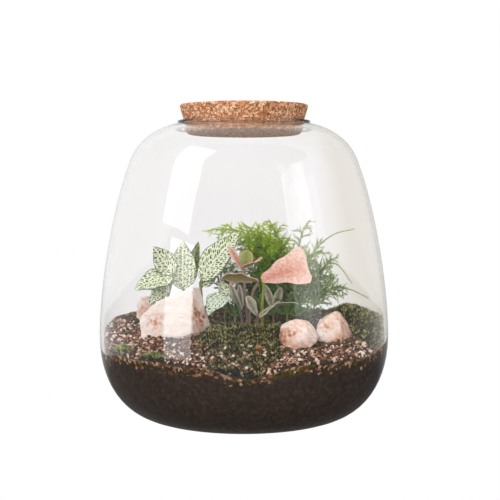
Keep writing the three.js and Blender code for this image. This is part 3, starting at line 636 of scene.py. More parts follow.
marble, marble_shader = new_material("Iron-stained calcite", Roughness=0.55, Specular_IOR_Level=0.35)
bed = add_node(marble, "TexCoord").outputs["Object"]
mottle = add_node(marble, "TexNoise", {"Vector": bed, "Scale": 1 / (2 * MM), "Detail": 6.0, "Roughness": 0.7})
mixed = add_node(marble, "Math", {0: mottle, 1: 0.6, 2: painted(marble, "stain")}, operation="MULTIPLY_ADD")
band = add_node(
    marble,
    "TexWave",
    {"Vector": bed, "Scale": 1 / (14 * MM), "Distortion": 7.0, "Detail": 3.0, "Detail Scale": 2.0},
    bands_direction="DIAGONAL",
)
banded = add_node(marble, "Math", {0: band.outputs["Fac"], 1: 0.18, 2: mixed}, operation="MULTIPLY_ADD")
rock_colour = add_node(marble, "ValToRGB", {"Fac": banded},
                       stops={0.1: "fceee8", 0.42: "f7dccf", 0.6: "ebbfaa", 0.8: "cf967a", 1: "a06b52"})
# Small dark spots are painted shade that stands for pits.
pit = add_node(marble, "TexVoronoi", {"Vector": bed, "Scale": 1 / (2.8 * MM)})
pit_painted_shade_mask = add_node(marble, "MapRange", {"Value": pit, "From Min": 0.22, "From Max": 0.12, "To Max": 0.45})
with_painted_pit_shade = add_node(marble, "MixRGB", {"Fac": pit_painted_shade_mask, "Color1": rock_colour, "Color2": linear("8a5f4a")})
join_sockets(marble, with_painted_pit_shade, marble_shader.inputs["Base Color"])
sugary = add_node(marble, "Bump", {"Height": mottle, "Strength": 0.45, "Distance": 0.8 * MM})
join_sockets(marble, sugary, marble_shader.inputs["Normal"])

for node, stone in STONES.items():
    rock = copy_of(node)
    apply_modifier(rock, "REMESH", mode="VOXEL", voxel_size=0.85 * MM)
    apply_modifier(rock, "SMOOTH", factor=0.6, iterations=3)
    places = [vertex.co / MM for vertex in rock.data.vertices]
    stains = [stain_at(p, v.normal, **stone) for p, v in zip(places, rock.data.vertices)]
    push_out(rock, [chip(place) for place in places])
    paint(rock, "stain", stains)
    only(rock)
    bpy.ops.object.shade_smooth_by_angle(angle=math.radians(38))
    hand_over(rock, node.replace("stone_", "rock_"), [node], [marble])

# %% [markdown]
# ## Pebbles
#
# Three tumbled pebbles lie half sunk in the moss, two of white quartz and one of orange sandstone. Each is
# a copy of its model piece, rounded by subdivision.

# %% Round the pebbles
def pebble_finish(name, colours):
    """A smooth stone with fine veins between two shades."""
    material, shader = new_material(name, Roughness=0.45)
    place = add_node(material, "TexCoord").outputs["Object"]
    veins = add_node(material, "TexNoise", {"Vector": place, "Scale": 1 / (1.5 * MM), "Detail": 4.0})
    tone = add_node(material, "ValToRGB", {"Fac": veins}, stops=colours)
    join_sockets(material, tone, shader.inputs["Base Color"])
    return material


quartz = pebble_finish("Tumbled white quartz", {0.35: "cfc2b2", 0.6: "f7f1e8"})
sandstone = pebble_finish("Tumbled orange sandstone", {0.3: "8a4a2a", 0.6: "c47a4d"})
PEBBLES = {
    "pebble_white_left": ("white_pebble", quartz),
    "pebble_white_right": ("white_pebble", quartz),
    "pebble_orange": ("orange_pebble", sandstone),
}
for node, (slot, material) in PEBBLES.items():
    pebble = copy_of(node)
    apply_modifier(pebble, "SUBSURF", levels=3, render_levels=3)
    for vertex in pebble.data.vertices:
        vertex.co += vertex.normal * 0.25 * MM * noise.noise(vertex.co / (1.8 * MM))
    only(pebble)
    bpy.ops.object.shade_smooth()
    hand_over(pebble, node + "_round", [node], [material])

# %% [markdown]
# ## Gravel
#
# Crushed stone of 2 to 4 mm in pinks, tans, browns and white. The model holds each patch as one rough bed.
# Grains laid on the whole bed's surface, also where it meets the glass, make it loose stone from every
# side. Between the grains the bed is painted nearly black, as painted shade. A grain that would reach
# into the glass is pushed back inside. More grains have rolled over the front of the moss and over the
# bare soil beside it.

# %% Scatter places over a surface
def spread(piece, count, seed, lowest=-1.0):
    """Random places on a piece, evenly by area, on faces that look up at least so far."""
    draw = np.random.default_rng(seed)
    mesh = piece.data
    mesh.calc_loop_triangles()
    # Blender lists a sphere's faces in another order each run, so they are put in order before the draw.
    triangles = sorted(mesh.loop_triangles, key=lambda t: t.vertices[:])
    corners = np.array([[mesh.vertices[i].co for i in t.vertices] for t in triangles])
    normals = np.array([t.normal for t in triangles])
    areas = np.array([t.area for t in triangles]) * (normals[:, 2] > lowest)
    chosen = draw.choice(len(areas), count, p=areas / areas.sum())
    a, b = draw.random((2, count, 1))
    flip = a + b > 1
    a, b = np.where(flip, 1 - a, a), np.where(flip, 1 - b, b)
    origin, first, second = corners[chosen].transpose(1, 0, 2)
    places = origin + a * (first - origin) + b * (second - origin)
    return [(Vector(p), Vector(n)) for p, n in zip(places, normals[chosen])]


def inside_glass(place, margin):
    """A place in metres, moved towards the axis if it is nearer to the glass than a margin in metres."""
    reach = inner_radius(place.z / MM) * MM - margin
    distance = math.hypot(place.x, place.y)
    if distance > reach:
        place = Vector((place.x * reach / distance, place.y * reach / distance, place.z))
    return place


# %% Lay the gravel
def shade_all(piece, shade):
    """Paints a whole piece with one shade, where its copies have one each."""
    for name in ("shade", "tip"):
        paint(piece, name, [shade] * len(piece.data.vertices))


crushed, crushed_shader = new_material("Crushed stone", Roughness=0.8, Specular_IOR_Level=0.1)
grain_place = add_node(crushed, "TexCoord").outputs["Object"]
grain_noise = add_node(crushed, "TexNoise", {"Vector": grain_place, "Scale": 1 / (1 * MM), "Detail": 2.0})
grain_tone = add_node(crushed, "Math", {0: grain_noise, 1: 0.22, 2: painted(crushed, "shade")},
                      operation="MULTIPLY_ADD")
grain_colour = add_node(
    crushed,
    "ValToRGB",
    {"Fac": grain_tone},
    stops={0.1: "140905", 0.38: "3c2416", 0.62: "704930", 0.81: "a87553", 0.94: "d8b096", 1: "fae4d6"},
)
join_sockets(crushed, grain_colour, crushed_shader.inputs["Base Color"])
# Each patch has its number of grains and its seed.
GRAVEL = {"gravel_left": (1500, 21), "gravel_front": (260, 34), "gravel_right": (1400, 55)}
for node, (count, seed) in GRAVEL.items():
    bed = copy_of(node)
    apply_modifier(bed, "REMESH", mode="VOXEL", voxel_size=1.6 * MM)
    push_out(bed, [-0.6] * len(bed.data.vertices))
    draw = random.Random(seed)
    grain_places = []
    for at, normal in spread(bed, count, seed, -0.3):
        size = (1.7 + 2.3 * draw.random() ** 2) * MM
        way = any_way(draw)
        sizes = [size * draw.uniform(0.6, 1.25) for axis in "xyz"]
        grain_places.append(placed(inside_glass(at + 0.15 * size * normal, 0.62 * size), way, sizes))
    grains = lay_copies(LUMPS, grain_places, seed)
    # The bed between the grains is painted nearly black: painted shade.
    shade_all(bed, 0.05)
    hand_over(fuse([grains, bed]), node.replace("gravel", "grit"), [node], [crushed])

# %% Strew grains over the front of the moss and over bare ground
MOSS_FRONT = -62
BARE_GROUND = [(-85, -25, -70, 0), (25, 110, -75, -30)]


def loose_grain(at, normal, size, lift):
    """Where a grain lies that has rolled onto a surface, lifted off it by a share of its size."""
    at = inside_glass(at + lift * size * normal, 0.9 * size)
    return placed(at, any_way(draw), [size, size * 0.8, size * 1.1])


draw = random.Random(8)
strewn = []
ground = copy_of("moss_carpet")
for at, normal in spread(ground, 900, 5, 0.2):
    if at.y < MOSS_FRONT * MM and draw.random() < 0.4:
        strewn.append(loose_grain(at, normal, draw.uniform(1.2, 3.0) * MM, 0.6))
bpy.data.objects.remove(ground)
for at, normal in spread(soil, 3800, 6, 0.6):
    x, y = at.x / MM, at.y / MM
    if any(left < x < right and front < y < back for left, right, front, back in BARE_GROUND):
        strewn.append(loose_grain(at, normal, draw.uniform(1.5, 3.4) * MM, 0.3))
hand_over(lay_copies(LUMPS, strewn, 9), "grit_strewn", [], [crushed])

# %% [markdown]
# ## Moss
#
# Cushion moss is a mat of upright shoots, each a small star of narrow leaves. Two shoots are modelled, of
# six slim spikes each. Thousands of copies stand on a cushion made from the model's own piece, which is
# remeshed, rounded into tussocks and painted dark, so that it reads as the shade between the shoots. The
# two tufts at the left are young and of a fresher green.

# %% Two moss shoots
GOLDEN_TURN = 2.4


def moss_shoot(spikes, spread_angle, width):
    """A star of three-sided spikes, 1 high."""
    bpy.ops.object.select_all(action="DESELECT")
    parts = []
    for number in range(spikes):
        lean = spread_angle * (0.25 if number % 3 == 0 else 1)
        length = 1.0 if number % 3 == 0 else 0.8
        bpy.ops.mesh.primitive_cone_add(vertices=3, radius1=width, depth=length)
        spike = bpy.context.object
        turn = Matrix.Rotation(number * GOLDEN_TURN, 4, "Z") @ Matrix.Rotation(lean, 4, "X")
        spike.data.transform(turn @ Matrix.Translation((0, 0, length / 2)))
        parts.append(spike)
    shoot = fuse(parts)
    bpy.ops.object.mode_set(mode="EDIT")
    bpy.ops.mesh.select_all(action="SELECT")
    bpy.ops.mesh.quads_convert_to_tris()
    bpy.ops.object.mode_set(mode="OBJECT")
    return pick_up(shoot)


SHOOTS = [moss_shoot(6, math.radians(48), 0.11), moss_shoot(6, math.radians(62), 0.12)]

# %% Lay the moss
def moss_finish(name, stops):
    """Moss whose colour runs from painted shade between the shoots to their tips, in patches."""
    material, shader = new_material(name, Roughness=0.9, Specular_IOR_Level=0.0)
    place = add_node(material, "TexCoord").outputs["Object"]
    patch = add_node(material, "TexNoise", {"Vector": place, "Scale": 1 / (4 * MM), "Detail": 4.0})
    lightness = add_node(material, "Math",
                         {0: painted(material, "tip"), 1: 0.6, 2: painted(material, "shade")},
                         operation="MULTIPLY_ADD")
    lit = add_node(material, "Math", {0: patch, 1: 2.4, 2: lightness}, operation="MULTIPLY_ADD")
    share = add_node(material, "MapRange", {"Value": lit, "From Min": 1.48, "From Max": 2.72})
    colour = add_node(material, "ValToRGB", {"Fac": share}, stops=stops)
    join_sockets(material, colour, shader.inputs["Base Color"])
    return material


cushion = moss_finish(
    "Cushion moss",
    {0: "0d0a04", 0.25: "1f200a", 0.45: "4c5218", 0.62: "837a34", 0.8: "b6b25a", 1: "ecdcb4"},
)
fresh = moss_finish("Cushion moss, fresh",
                    {0: "10120a", 0.25: "2f3410", 0.45: "646c22", 0.62: "9aa042", 0.8: "c6ca74", 1: "f0ecbc"})
TALL_MOSS = 1.4
MOSS = {
    "moss_carpet": (3600, 61),
    "moss_left_high": (330, 62),
    "moss_left_low": (420, 63),
    "moss_right": (1900, 64),
}
for node, (count, seed) in MOSS.items():
    mat = copy_of(node)
    apply_modifier(mat, "REMESH", mode="VOXEL", voxel_size=1.4 * MM)
    apply_modifier(mat, "SMOOTH", factor=0.5, iterations=4)
    push_out(mat, [0.2 - 2 * noise.voronoi(vertex.co / (8 * MM))[0][0] for vertex in mat.data.vertices])
    for vertex in mat.data.vertices:
        vertex.co = inside_glass(vertex.co, 0.5 * MM)
    draw = random.Random(seed)
    shoot_places = []
    for at, normal in spread(mat, count, seed, -0.25):
        length = draw.uniform(2.0, 4.2) * (TALL_MOSS if node == "moss_right" else 1) * MM
        way = normal + Vector((draw.gauss(0, 0.35), draw.gauss(0, 0.35), 0.5))
        at = inside_glass(at - 0.3 * length * normal, 0.9 * MM)
        tip = inside_glass(at + way.normalized() * length, 0.6 * MM)
        shoot_places.append(placed(at, tip - at, [length] * 3, draw.uniform(0, math.tau)))
    shoots = lay_copies(SHOOTS, shoot_places, seed)
    # The cushion under the shoots is painted dark: painted shade between them.
    shade_all(mat, 0.0)
    finish = fresh if "left" in node else cushion
    hand_over(fuse([shoots, mat]), node + "_shoots", [node], [finish])

# %% Let moss creep over the soil at the back
CREEPING_LEFT = -45
CREEPING_RIGHT = 100
CREEPING_LOW = 60
creeping = []
draw = random.Random(66)
for at, normal in spread(soil, 7000, 67, 0.6):
    on_top = at.z > CREEPING_LOW * MM
    if at.y > 0 and CREEPING_LEFT * MM < at.x < CREEPING_RIGHT * MM and on_top and draw.random() < 0.3:
        length = draw.uniform(2.5, 4.5) * MM
        way = normal + Vector((draw.gauss(0, 0.4), draw.gauss(0, 0.4), 0.3))
        creeping.append(placed(inside_glass(at, 2 * MM), way, [length] * 3, draw.uniform(0, math.tau)))
hand_over(lay_copies(SHOOTS, creeping, 68), "moss_creeping", [], [cushion])

# %% [markdown]
# ## Stems
#
# Every stem, stalk and rib is a round wire along a smooth path. A curve with a bevel makes all the wires
# of one plant at once, and converting it gives them closed meshes.

# %% Smooth paths and wires
def smooth_path(points, steps=8):
    """Places along a smooth curve that passes through every point, all in millimetres."""
    points = [Vector(p) for p in points]
    ends = [2 * points[0] - points[1], *points, 2 * points[-1] - points[-2]]
    path = []
    for a, b, c, d in zip(ends, ends[1:], ends[2:], ends[3:]):
        for step in range(steps):
            t = step / steps
            path.append(0.5 * (2 * b + (c - a) * t + (2 * a - 5 * b + 4 * c - d) * t**2
                               + (3 * b - a - 3 * c + d) * t**3))
    return [*path, points[-1]]


def at_share(path, share):
    """The place and the direction a share of the way along a path."""
    lengths = [(b - a).length for a, b in zip(path, path[1:])]
    left = share * sum(lengths)
    for a, b, length in zip(path, path[1:], lengths):
        if left <= length:
            return a.lerp(b, left / length), (b - a).normalized()
        left -= length
    return path[-1], (path[-1] - path[-2]).normalized()


def wires(paths, radius, slim=1.0):
    """Round wires in one mesh, which slim down to a share of their radius at the end."""
    curve = bpy.data.curves.new("wires", "CURVE")
    curve.dimensions = "3D"
    curve.bevel_depth = radius * MM
    curve.bevel_resolution = 0
    curve.use_fill_caps = True
    for path in paths:
        spline = curve.splines.new("POLY")
        spline.points.add(len(path) - 1)
        for number, (point, place) in enumerate(zip(spline.points, path)):
            point.co = (*(place * MM), 1)
            point.radius = 1 + (slim - 1) * number / (len(path) - 1)
    piece = bpy.data.objects.new("wires", curve)
    bpy.context.collection.objects.link(piece)
    only(piece)
    bpy.ops.object.convert(target="MESH")
    bpy.ops.object.shade_smooth()
    return bpy.context.object


def rooted(root, *rest):
    """The points of a stem that leaves the soil straight up at its root."""
    x, y = root
    ground = soil_height(x, y)
    return [(x, y, ground - 12), (x, y, ground - 4), (x, y, ground + 4), *rest]


# %% [markdown]
# ## Leaves
#
# A leaf starts as a flat grid. Its midrib is a curve from base to tip, and each row of the grid becomes a
# section across it, as wide as the leaf's outline is there, folded up along the midrib and rippled at the
# edges. Solidify gives the blade its thickness and its under face a material of its own. The grid's UV
# map holds real lengths along and across the blade, so that veins can follow the leaf.

# %% Shape one leaf
BLADE_THICKNESS = 0.55
RIPPLES = 2.5
VEIN_SLANT = 0.8
VEIN_SPACING = 5
BROAD = 12


# Each outline gives half the width, as a share, at a share of the length.
def egg(u):
    return max(0.02, math.sin(math.pi * u**0.8) ** 0.8 * (1 - 0.25 * u)) if u < 1 else 0.02


def spoon(u):
    return max(0.05, math.sin(math.pi * (0.03 + 0.94 * u**1.3)) ** 0.7)


def fan(u):
    return (0.2 + 0.8 * min(1, u / 0.85)) * min(1, (u + 0.03) / 0.1) ** 0.5 * min(1, (1.05 - u) / 0.12) ** 0.5


def strap(u):
    return max(0.05, math.sin(math.pi * (0.08 + 0.91 * u)) ** 0.6)


leaf_points = []


def blade(base, tip, up, width, **habit):
    """What tells one leaf of a stem: base, tip, the way its upper face looks, width, and how it differs."""
    return {"base": base, "tip": tip, "up": up, "width": width, **habit}


def leaf(path, base, tip, up, width, start=1, shape=egg, arch=0, fold=0.0, wave=0.0, twist=0, quilt=0.0):
    """A leaf, and the path of its petiole, which starts a share of the way along the stem's path."""
    base, tip = Vector(base), Vector(tip)
    along = (tip - base).normalized()
    across = along.cross(Vector(up)).normalized()
    face = across.cross(along).normalized()
    crest = base.lerp(tip, 0.5) + 2 * arch * face
    length = (tip - base).length
    rows, lanes = (44, 22) if width > BROAD else (24, 8)
    bpy.ops.mesh.primitive_grid_add(x_subdivisions=rows, y_subdivisions=lanes, size=2)
    sheet = bpy.context.object
    veins = sheet.data.uv_layers[0]
    rim = []
    lengths = []
    for vertex in sheet.data.vertices:
        u, v = (vertex.co.x + 1) / 2, vertex.co.y
        turn = twist * (u - 0.3)
        side = math.cos(turn) * across + math.sin(turn) * face
        way = (1 - u) * (crest - base) + u * (tip - crest)
        normal = side.cross(way).normalized()
        half = 0.5 * width * shape(u)
        ripple = wave * v * v * math.sin(RIPPLES * math.tau * u + (0 if v > 0 else 1.4))
        aside = abs(v) * half
        bulge = math.cos(math.tau * (u * length - VEIN_SLANT * aside) / VEIN_SPACING)
        pucker = quilt * bulge * (1 - abs(v)) * min(1, aside / 2)
        place = (1 - u) ** 2 * base + 2 * u * (1 - u) * crest + u * u * tip
        place += v * half * side + (fold * aside + ripple + pucker - quilt * math.exp(-aside)) * normal
        leaf_points.append(place.copy())
        lengths.append((u * length * MM, v * half * MM))
        rim.append(max(abs(v), abs(2 * u - 1) ** 6))
        vertex.co = place * MM
    for loop in sheet.data.loops:
        veins.data[loop.index].uv = lengths[loop.vertex_index]
    paint(sheet, "rim", [min(1, r) for r in rim])
    apply_modifier(sheet, "SOLIDIFY", thickness=BLADE_THICKNESS * MM, offset=0, material_offset=1,
                   material_offset_rim=1)
    bpy.ops.object.shade_smooth()
    foot = at_share(path, start)[0]
    joint = base.lerp(crest, 0.1)
    return sheet, smooth_path([foot, base, joint], 4)


def leafy_stem(root, rise, leaves, radius, upper, under, stalk, **habit):
    """A whole leafy stem as one piece."""
    path = smooth_path(rooted(root, *rise))
    sheets, petioles = [], []
    for growth in leaves:
        top, bottom = growth.pop("finish", (upper, under))
        sheet, petiole = leaf(path, **{**habit, **growth})
        sheet.data.materials.append(top)
        sheet.data.materials.append(bottom)
        sheets.append(sheet)
        petioles.append(petiole)
    stem = wires([path], radius)
    stalks = wires(petioles, 0.7 * radius)
    for part in (stem, stalks):
        part.data.materials.append(stalk)
    return fuse([*sheets, stem, stalks])


# %% [markdown]
# ## The mosaic plant's leaves
#
# Each leaf is green between a dense net of pale veins. The net is a cellular pattern whose cells are drawn
# out along the side veins: across the UV map, the side veins run back at a slant, so the pattern's first
# axis is the place along the leaf less a share of the distance from the midrib. The midrib and the side
# veins are pale lines of their own.

# %% Netted leaf
NET_CELL = 2.3
NET_STRETCH = 1.5


def netted_leaf(name, pale, green, cover):
    """A leaf with a vein net. The cover is how much of each cell the veins take."""
    material, shader = new_material(name, Roughness=0.42)
    along_across = add_node(material, "UVMap").outputs["UV"]
    parts = add_node(material, "SeparateXYZ", {0: along_across})
    aside = add_node(material, "Math", {0: parts.outputs["Y"]}, operation="ABSOLUTE")
    slant = add_node(material, "Math", {0: aside, 1: -VEIN_SLANT, 2: parts.outputs["X"]},
                     operation="MULTIPLY_ADD")
    leant = add_node(material, "CombineXYZ", {"X": slant, "Y": parts.outputs["Y"]})
    scaled = add_node(material, "Mapping",
                      {"Vector": leant, "Scale": (1 / (NET_CELL * MM), 1 / (NET_CELL * NET_STRETCH * MM), 1)})
    net = add_node(material, "TexVoronoi", {"Vector": scaled, "Scale": 1.0, "Randomness": 0.8},
                   voronoi_dimensions="2D", feature="DISTANCE_TO_EDGE")
    cell = add_node(material, "MapRange", {"Value": net, "From Min": cover, "From Max": cover + 0.1})
    rib_turn = add_node(material, "Math", {0: slant, 1: math.pi / (VEIN_SPACING * MM)}, operation="MULTIPLY")
    rib_wave = add_node(material, "Math", {0: rib_turn}, operation="SINE")
    rib_height = add_node(material, "Math", {0: rib_wave}, operation="ABSOLUTE")
    side_rib = add_node(material, "MapRange", {"Value": rib_height, "From Min": 0.12, "From Max": 0.24})
    midrib = add_node(material, "MapRange", {"Value": aside, "From Min": 0.35 * MM, "From Max": 0.8 * MM})
    between = add_node(material, "Math", {0: cell, 1: side_rib}, operation="MULTIPLY")
    greenness = add_node(material, "Math", {0: between, 1: midrib}, operation="MULTIPLY")
    margin = add_node(material, "MapRange",
                      {"Value": painted(material, "rim"), "From Min": 0.93, "From Max": 0.98})
    green_share = add_node(material, "Math", {0: greenness, 1: margin}, operation="MAXIMUM")
    tint = add_node(material, "MixRGB", {"Fac": green_share, "Color1": linear(pale), "Color2": linear(green)})
    join_sockets(material, tint, shader.inputs["Base Color"])
    relief = add_node(material, "Bump", {"Height": greenness, "Strength": 0.4, "Distance": 0.3 * MM})
    join_sockets(material, relief, shader.inputs["Normal"])
    return material


mosaic_top = netted_leaf("Mosaic leaf, upper face", "f0f5d6", "2c5213", 0.13)
mosaic_pale = netted_leaf("Mosaic leaf, young", "e8f0e0", "527c46", 0.15)
# This darker finish is painted shade, for a small leaf at the back.
mosaic_painted_shade = netted_leaf("Mosaic leaf, painted shade", "95a552", "3c5512", 0.1)
mosaic_under = netted_leaf("Mosaic leaf, under face", "cfd8ae", "4d6d2c", 0.12)


def plain_leaf(name, stops, grain, mottling=0.6, pale_by=1000):
    """A leaf whose colour runs from middle to rim and, within pale_by millimetres, from base to tip."""
    material, shader = new_material(name, Roughness=0.5)
    place = add_node(material, "UVMap").outputs["UV"]
    blotch = add_node(material, "TexNoise", {"Vector": place, "Scale": 1 / (grain * MM), "Detail": 4.0})
    blend = add_node(material, "Math", {0: blotch, 1: mottling, 2: painted(material, "rim")},
                     operation="MULTIPLY_ADD")
    parts = add_node(material, "SeparateXYZ", {0: place})
    paler = add_node(material, "Math", {0: parts.outputs["X"], 1: 1 / (pale_by * MM), 2: blend},
                     operation="MULTIPLY_ADD")
    share = add_node(material, "MapRange",
                     {"Value": paler, "From Min": mottling / 3, "From Max": 1 + 0.7 * mottling})
    tone = add_node(material, "ValToRGB", {"Fac": share}, stops=stops)
    join_sockets(material, tone, shader.inputs["Base Color"])
    relief = add_node(material, "Bump", {"Height": blotch, "Strength": 0.3, "Distance": 0.5 * MM})
    join_sockets(material, relief, shader.inputs["Normal"])
    return material


green_stalk = plain_leaf("Green stalk", {0: "5d7a2c", 1: "93a653"}, 3)
bright_stalk = plain_leaf("Bright green stalk", {0: "8fa32c", 1: "b5c25a"}, 3)
pink_stalk = plain_leaf("Pink stalk", {0: "6f5648", 1: "b3988a"}, 3)
pink_top = plain_leaf("Pink leaf, upper face",
                      {0: "a45748", 0.3: "c98575", 0.6: "dea594", 0.85: "ebbfae", 1: "f3d3c4"}, 2.4, 2.2,
                      pale_by=60)
pink_under = plain_leaf("Pink leaf, under face", {0: "8b9040", 0.6: "a79d58", 0.76: "dda392", 1: "f2c6b6"}, 7)
olive = plain_leaf("Young olive leaf", {0: "72803a", 0.7: "97a052", 0.9: "d9a08c", 1: "dba592"}, 5)
silver_top = plain_leaf("Silver leaf, upper face", {0: "5f6a50", 0.4: "96967c", 0.75: "cabfae", 1: "e6d0c2"},
                        3, 1.2)
silver_under = plain_leaf("Silver leaf, under face", {0: "8a7d6c", 1: "bda99a"}, 4)

# %% Grow the mosaic plant
MOSAIC = {
    "mosaic_stem_left": ((-71, 19), [(-68, 16, 100), (-62, 11, 121)], [
        blade((-63, 11, 119), (-96, 5, 108), (-0.2, -0.85, 0.8), 26, arch=4),
        blade((-67, 14, 112), (-83, 6, 96), (-0.6, -1, 0.7), 20, start=0.86),
        blade((-63, 11, 122), (-79, 4, 146), (0.1, -1, 0.35), 23),
    ]),
    "mosaic_stem_tall": ((-55, 24), [(-54, 24, 95), (-54, 22, 108)], [
        blade((-55, 21, 107), (-54, 17, 150), (0, -1, 0.2), 29, start=0.9),
        # A back leaf painted dark: painted shade.
        blade((-52, 23, 111), (-41, 27, 149), (0.5, -1, 0.3), 15, start=0.95,
              finish=(mosaic_painted_shade, mosaic_painted_shade)),
    ]),
    "mosaic_stem_right": ((-37, 20), [(-38, 19, 100), (-39, 15, 114)], [
        blade((-38, 14, 116), (-4, 13, 157), (-0.3, -1, 0.45), 29, arch=4),
        blade((-37, 17, 110), (-24, 21, 126), (0.3, -1, 0.5), 13, start=0.88, arch=2),
    ]),
    "mosaic_stem_low": ((-17, 19), [(-15, 13, 95), (-14, 6, 102)], [
        blade((-15, 4, 103), (-31, -13, 88), (-0.3, -0.85, 0.9), 24, arch=4,
              finish=(mosaic_pale, mosaic_under)),
        blade((-15, 11, 100), (-22, 22, 116), (0.2, -1, 0.4), 12, start=0.9, arch=2),
    ]),
}
for node, stem in MOSAIC.items():
    grown = leafy_stem(*stem, radius=1.2, upper=mosaic_top, under=mosaic_under, stalk=green_stalk,
                       shape=egg, fold=0.16, wave=0.7, quilt=0.35)
    hand_over(grown, node + "_grown", [node])

# %% [markdown]
# ## The pink-leaved plant
#
# One crown carries a broad coppery-pink leaf, a flat one seen from its olive under face, a twisted pair
# and a young green one, and narrow silver-green leaves below. The same leaf function makes them all, with
# other outlines, folds and twists.

# %% Grow the pink-leaved plant
PINK = {
    "pink_leaf_broad": ((16, 8), [(16, 0, 98), (17, -8, 111), (17, -11, 116)], [
        blade((15.5, -12, 118), (55, -14, 129), (-0.2, -0.85, 0.55), 37, shape=fan, arch=3, fold=0.3,
              wave=1.3),
    ]),
    "pink_leaf_left": ((5, 8), [(6, 2, 98), (9, -8, 110), (12, -14, 115)], [
        blade((12, -15, 118), (-20, -9, 120), (0, 0.6, 1), 20, shape=spoon, arch=4, fold=-0.3, wave=0.8,
              finish=(pink_under, pink_top)),
    ]),
    "pink_leaf_pair": ((3, 14), [(1, 9, 100), (0, 3, 124), (-1, 2, 129)], [
        blade((-2, 0, 127), (-13, -5, 147), (0.9, -0.5, 0.4), 8, start=0.96, twist=1),
        blade((-1, 2, 128), (16, -3, 137), (-0.3, 0.4, 1), 9, twist=-1.2),
        blade((0, 4, 127), (3, 4, 143), (0, -1, 0.2), 13, start=0.95, shape=spoon, arch=1,
              finish=(olive, olive)),
    ]),
    "pink_leaf_low": ((12, 3), [(12, 0, 84), (12, -3, 86)], [
        blade((11, -4, 87), (2, -9, 104), (0.8, -1, 0.2), 10, start=0.95, fold=0.3, shape=spoon),
        blade((13, -5, 86), (31, -9, 100), (-0.5, -0.4, 1), 8, twist=0.9),
        blade((14, -3, 88), (47, -4, 97), (-0.2, 0.5, 1), 6, start=0.98, arch=4),
    ]),
    "silver_leaves_left": ((-2, 12), [(-3, 9, 86), (-4, 8, 92)], [
        blade((-3, 8, 90), (-12, 1, 115), (-0.7, -1, 0.2), 8, fold=0.3),
        blade((-3, 9, 90), (-4, 6, 112), (-0.2, -1, 0.2), 7, start=0.9, fold=0.3),
    ]),
    "silver_leaves_right": ((26, 13), [(26, 10, 86), (26, 9, 92)], [
        blade((25, 8, 93), (19, 7, 112), (-0.3, -1, 0.2), 7, start=0.9, fold=0.3),
        blade((27, 8, 94), (32, 7, 110), (0.6, -1, 0.2), 9, fold=0.2),
    ]),
}
for node, stem in PINK.items():
    is_pink = node in ("pink_leaf_broad", "pink_leaf_left", "pink_leaf_pair")
    upper, under = (pink_top, pink_under) if is_pink else (silver_top, silver_under)
    stalk = bright_stalk if node == "pink_leaf_broad" else pink_stalk
    grown = leafy_stem(*stem, radius=1.3, upper=upper, under=under, stalk=stalk, shape=strap, wave=0.3)
    hand_over(grown, node + "_grown", [node])

# %% Fill the foot of the plants with young leaves
YOUNG_LEAVES = {
    "young_leaves_left": ((-8, 6), [(-8, 6, 84), (-8, 5, 86)], [
        blade((-10, 4, 86), (-16, 1, 100), (-0.3, -1, 0.3), 5),
        blade((-6, 4, 86), (-8, 2, 97), (0.2, -1, 0.3), 5),
    ]),
    "young_leaves_middle": ((17, 12), [(17, 12, 84), (17, 12, 87)], [
        blade((14, 11, 88), (7, 9, 103), (-0.3, -1, 0.3), 8),
        blade((18, 11, 88), (17, 9, 106), (0.1, -1, 0.3), 9),
        blade((21, 10, 87), (30, 6, 94), (0.1, -1, 0.6), 8),
    ]),
    "young_leaves_right": ((38, 8), [(38, 8, 84), (38, 8, 87)], [
        blade((35, 7, 87), (28, 4, 101), (-0.2, -1, 0.3), 9),
        blade((40, 7, 87), (44, 4, 103), (0.2, -1, 0.3), 8),
        blade((41, 5, 87), (54, -2, 92), (0.1, -1, 0.6), 8),
    ]),
}
# These low leaves are painted dark green: painted shade at the foot of the plants.
foot_leaf_painted_shade = plain_leaf("Young leaf, painted shade", {0: "24401a", 0.5: "3d5c22", 1: "7c9048"}, 3, 1.2)
for name, stem in YOUNG_LEAVES.items():
    grown = leafy_stem(*stem, radius=1.0, upper=foot_leaf_painted_shade, under=foot_leaf_painted_shade, stalk=green_stalk,
                       shape=strap, fold=0.3, wave=0.3)
    hand_over(grown, name)

# %% [markdown]
# ## The asparagus fern
#
# Fronds arch out of a clump. Each is a wiry stem with side sprays, each spray has twigs, and all are set
# with rings of needle-like leaves, so that from a step away they make a soft green cloud. One needle of
# four faces is modelled, and laid in rings along every spray and twig. A needle that would pass through a
# leaf or the glass is left out. The young fronds on top are a bright yellow-green, partly painted light.
# The fronds in the heart are in shade, painted dark, and their needles are broader, so that no light from
# behind shows between them. The grown fronds at the right are pale with a painted reflection of the glass,
# and all needles are painted darker low in the clump, as painted shade.

# %% One needle, and a tree of the leaves' points
bpy.ops.object.select_all(action="DESELECT")
bpy.ops.mesh.primitive_cone_add(vertices=3, radius1=0.5, depth=1, location=(0, 0, 0.5))
needle = bpy.context.object
needle.data.transform(needle.matrix_world)
NEEDLE = [pick_up(needle)]
leaf_tree = kdtree.KDTree(len(leaf_points))
for number, place in enumerate(leaf_points):
    leaf_tree.insert(place, number)
leaf_tree.balance()

# %% Grow one frond
FROND_WIRE = 0.75
NEEDLE_LENGTH = 3.1
NEEDLE_WIDTH = 0.3
OLD_NEEDLE_WIDTH = 1.0
RING_STEP = 1.2
RING_SIZE = 5
FERN_TOP = 168
CLEAR_OF_GROUND = 6
FIRST_SPRAY = 0.3
SHORTEST_SPRAY = 5
TWIG_STEP = 2.2


def has_room(place, margin=1.0):
    """Whether a place in millimetres is clear of the leaves, the glass and the ground."""
    if place.z > FERN_TOP or math.hypot(place.x, place.y) > inner_radius(place.z) - margin:
        return False
    return leaf_tree.find(place)[2] > margin and place.z > soil_height(place.x, place.y) + CLEAR_OF_GROUND


def around(axis, turn):
    """A direction square to an axis, turned about it."""
    return Matrix.Rotation(turn, 3, axis) @ axis.orthogonal().normalized()


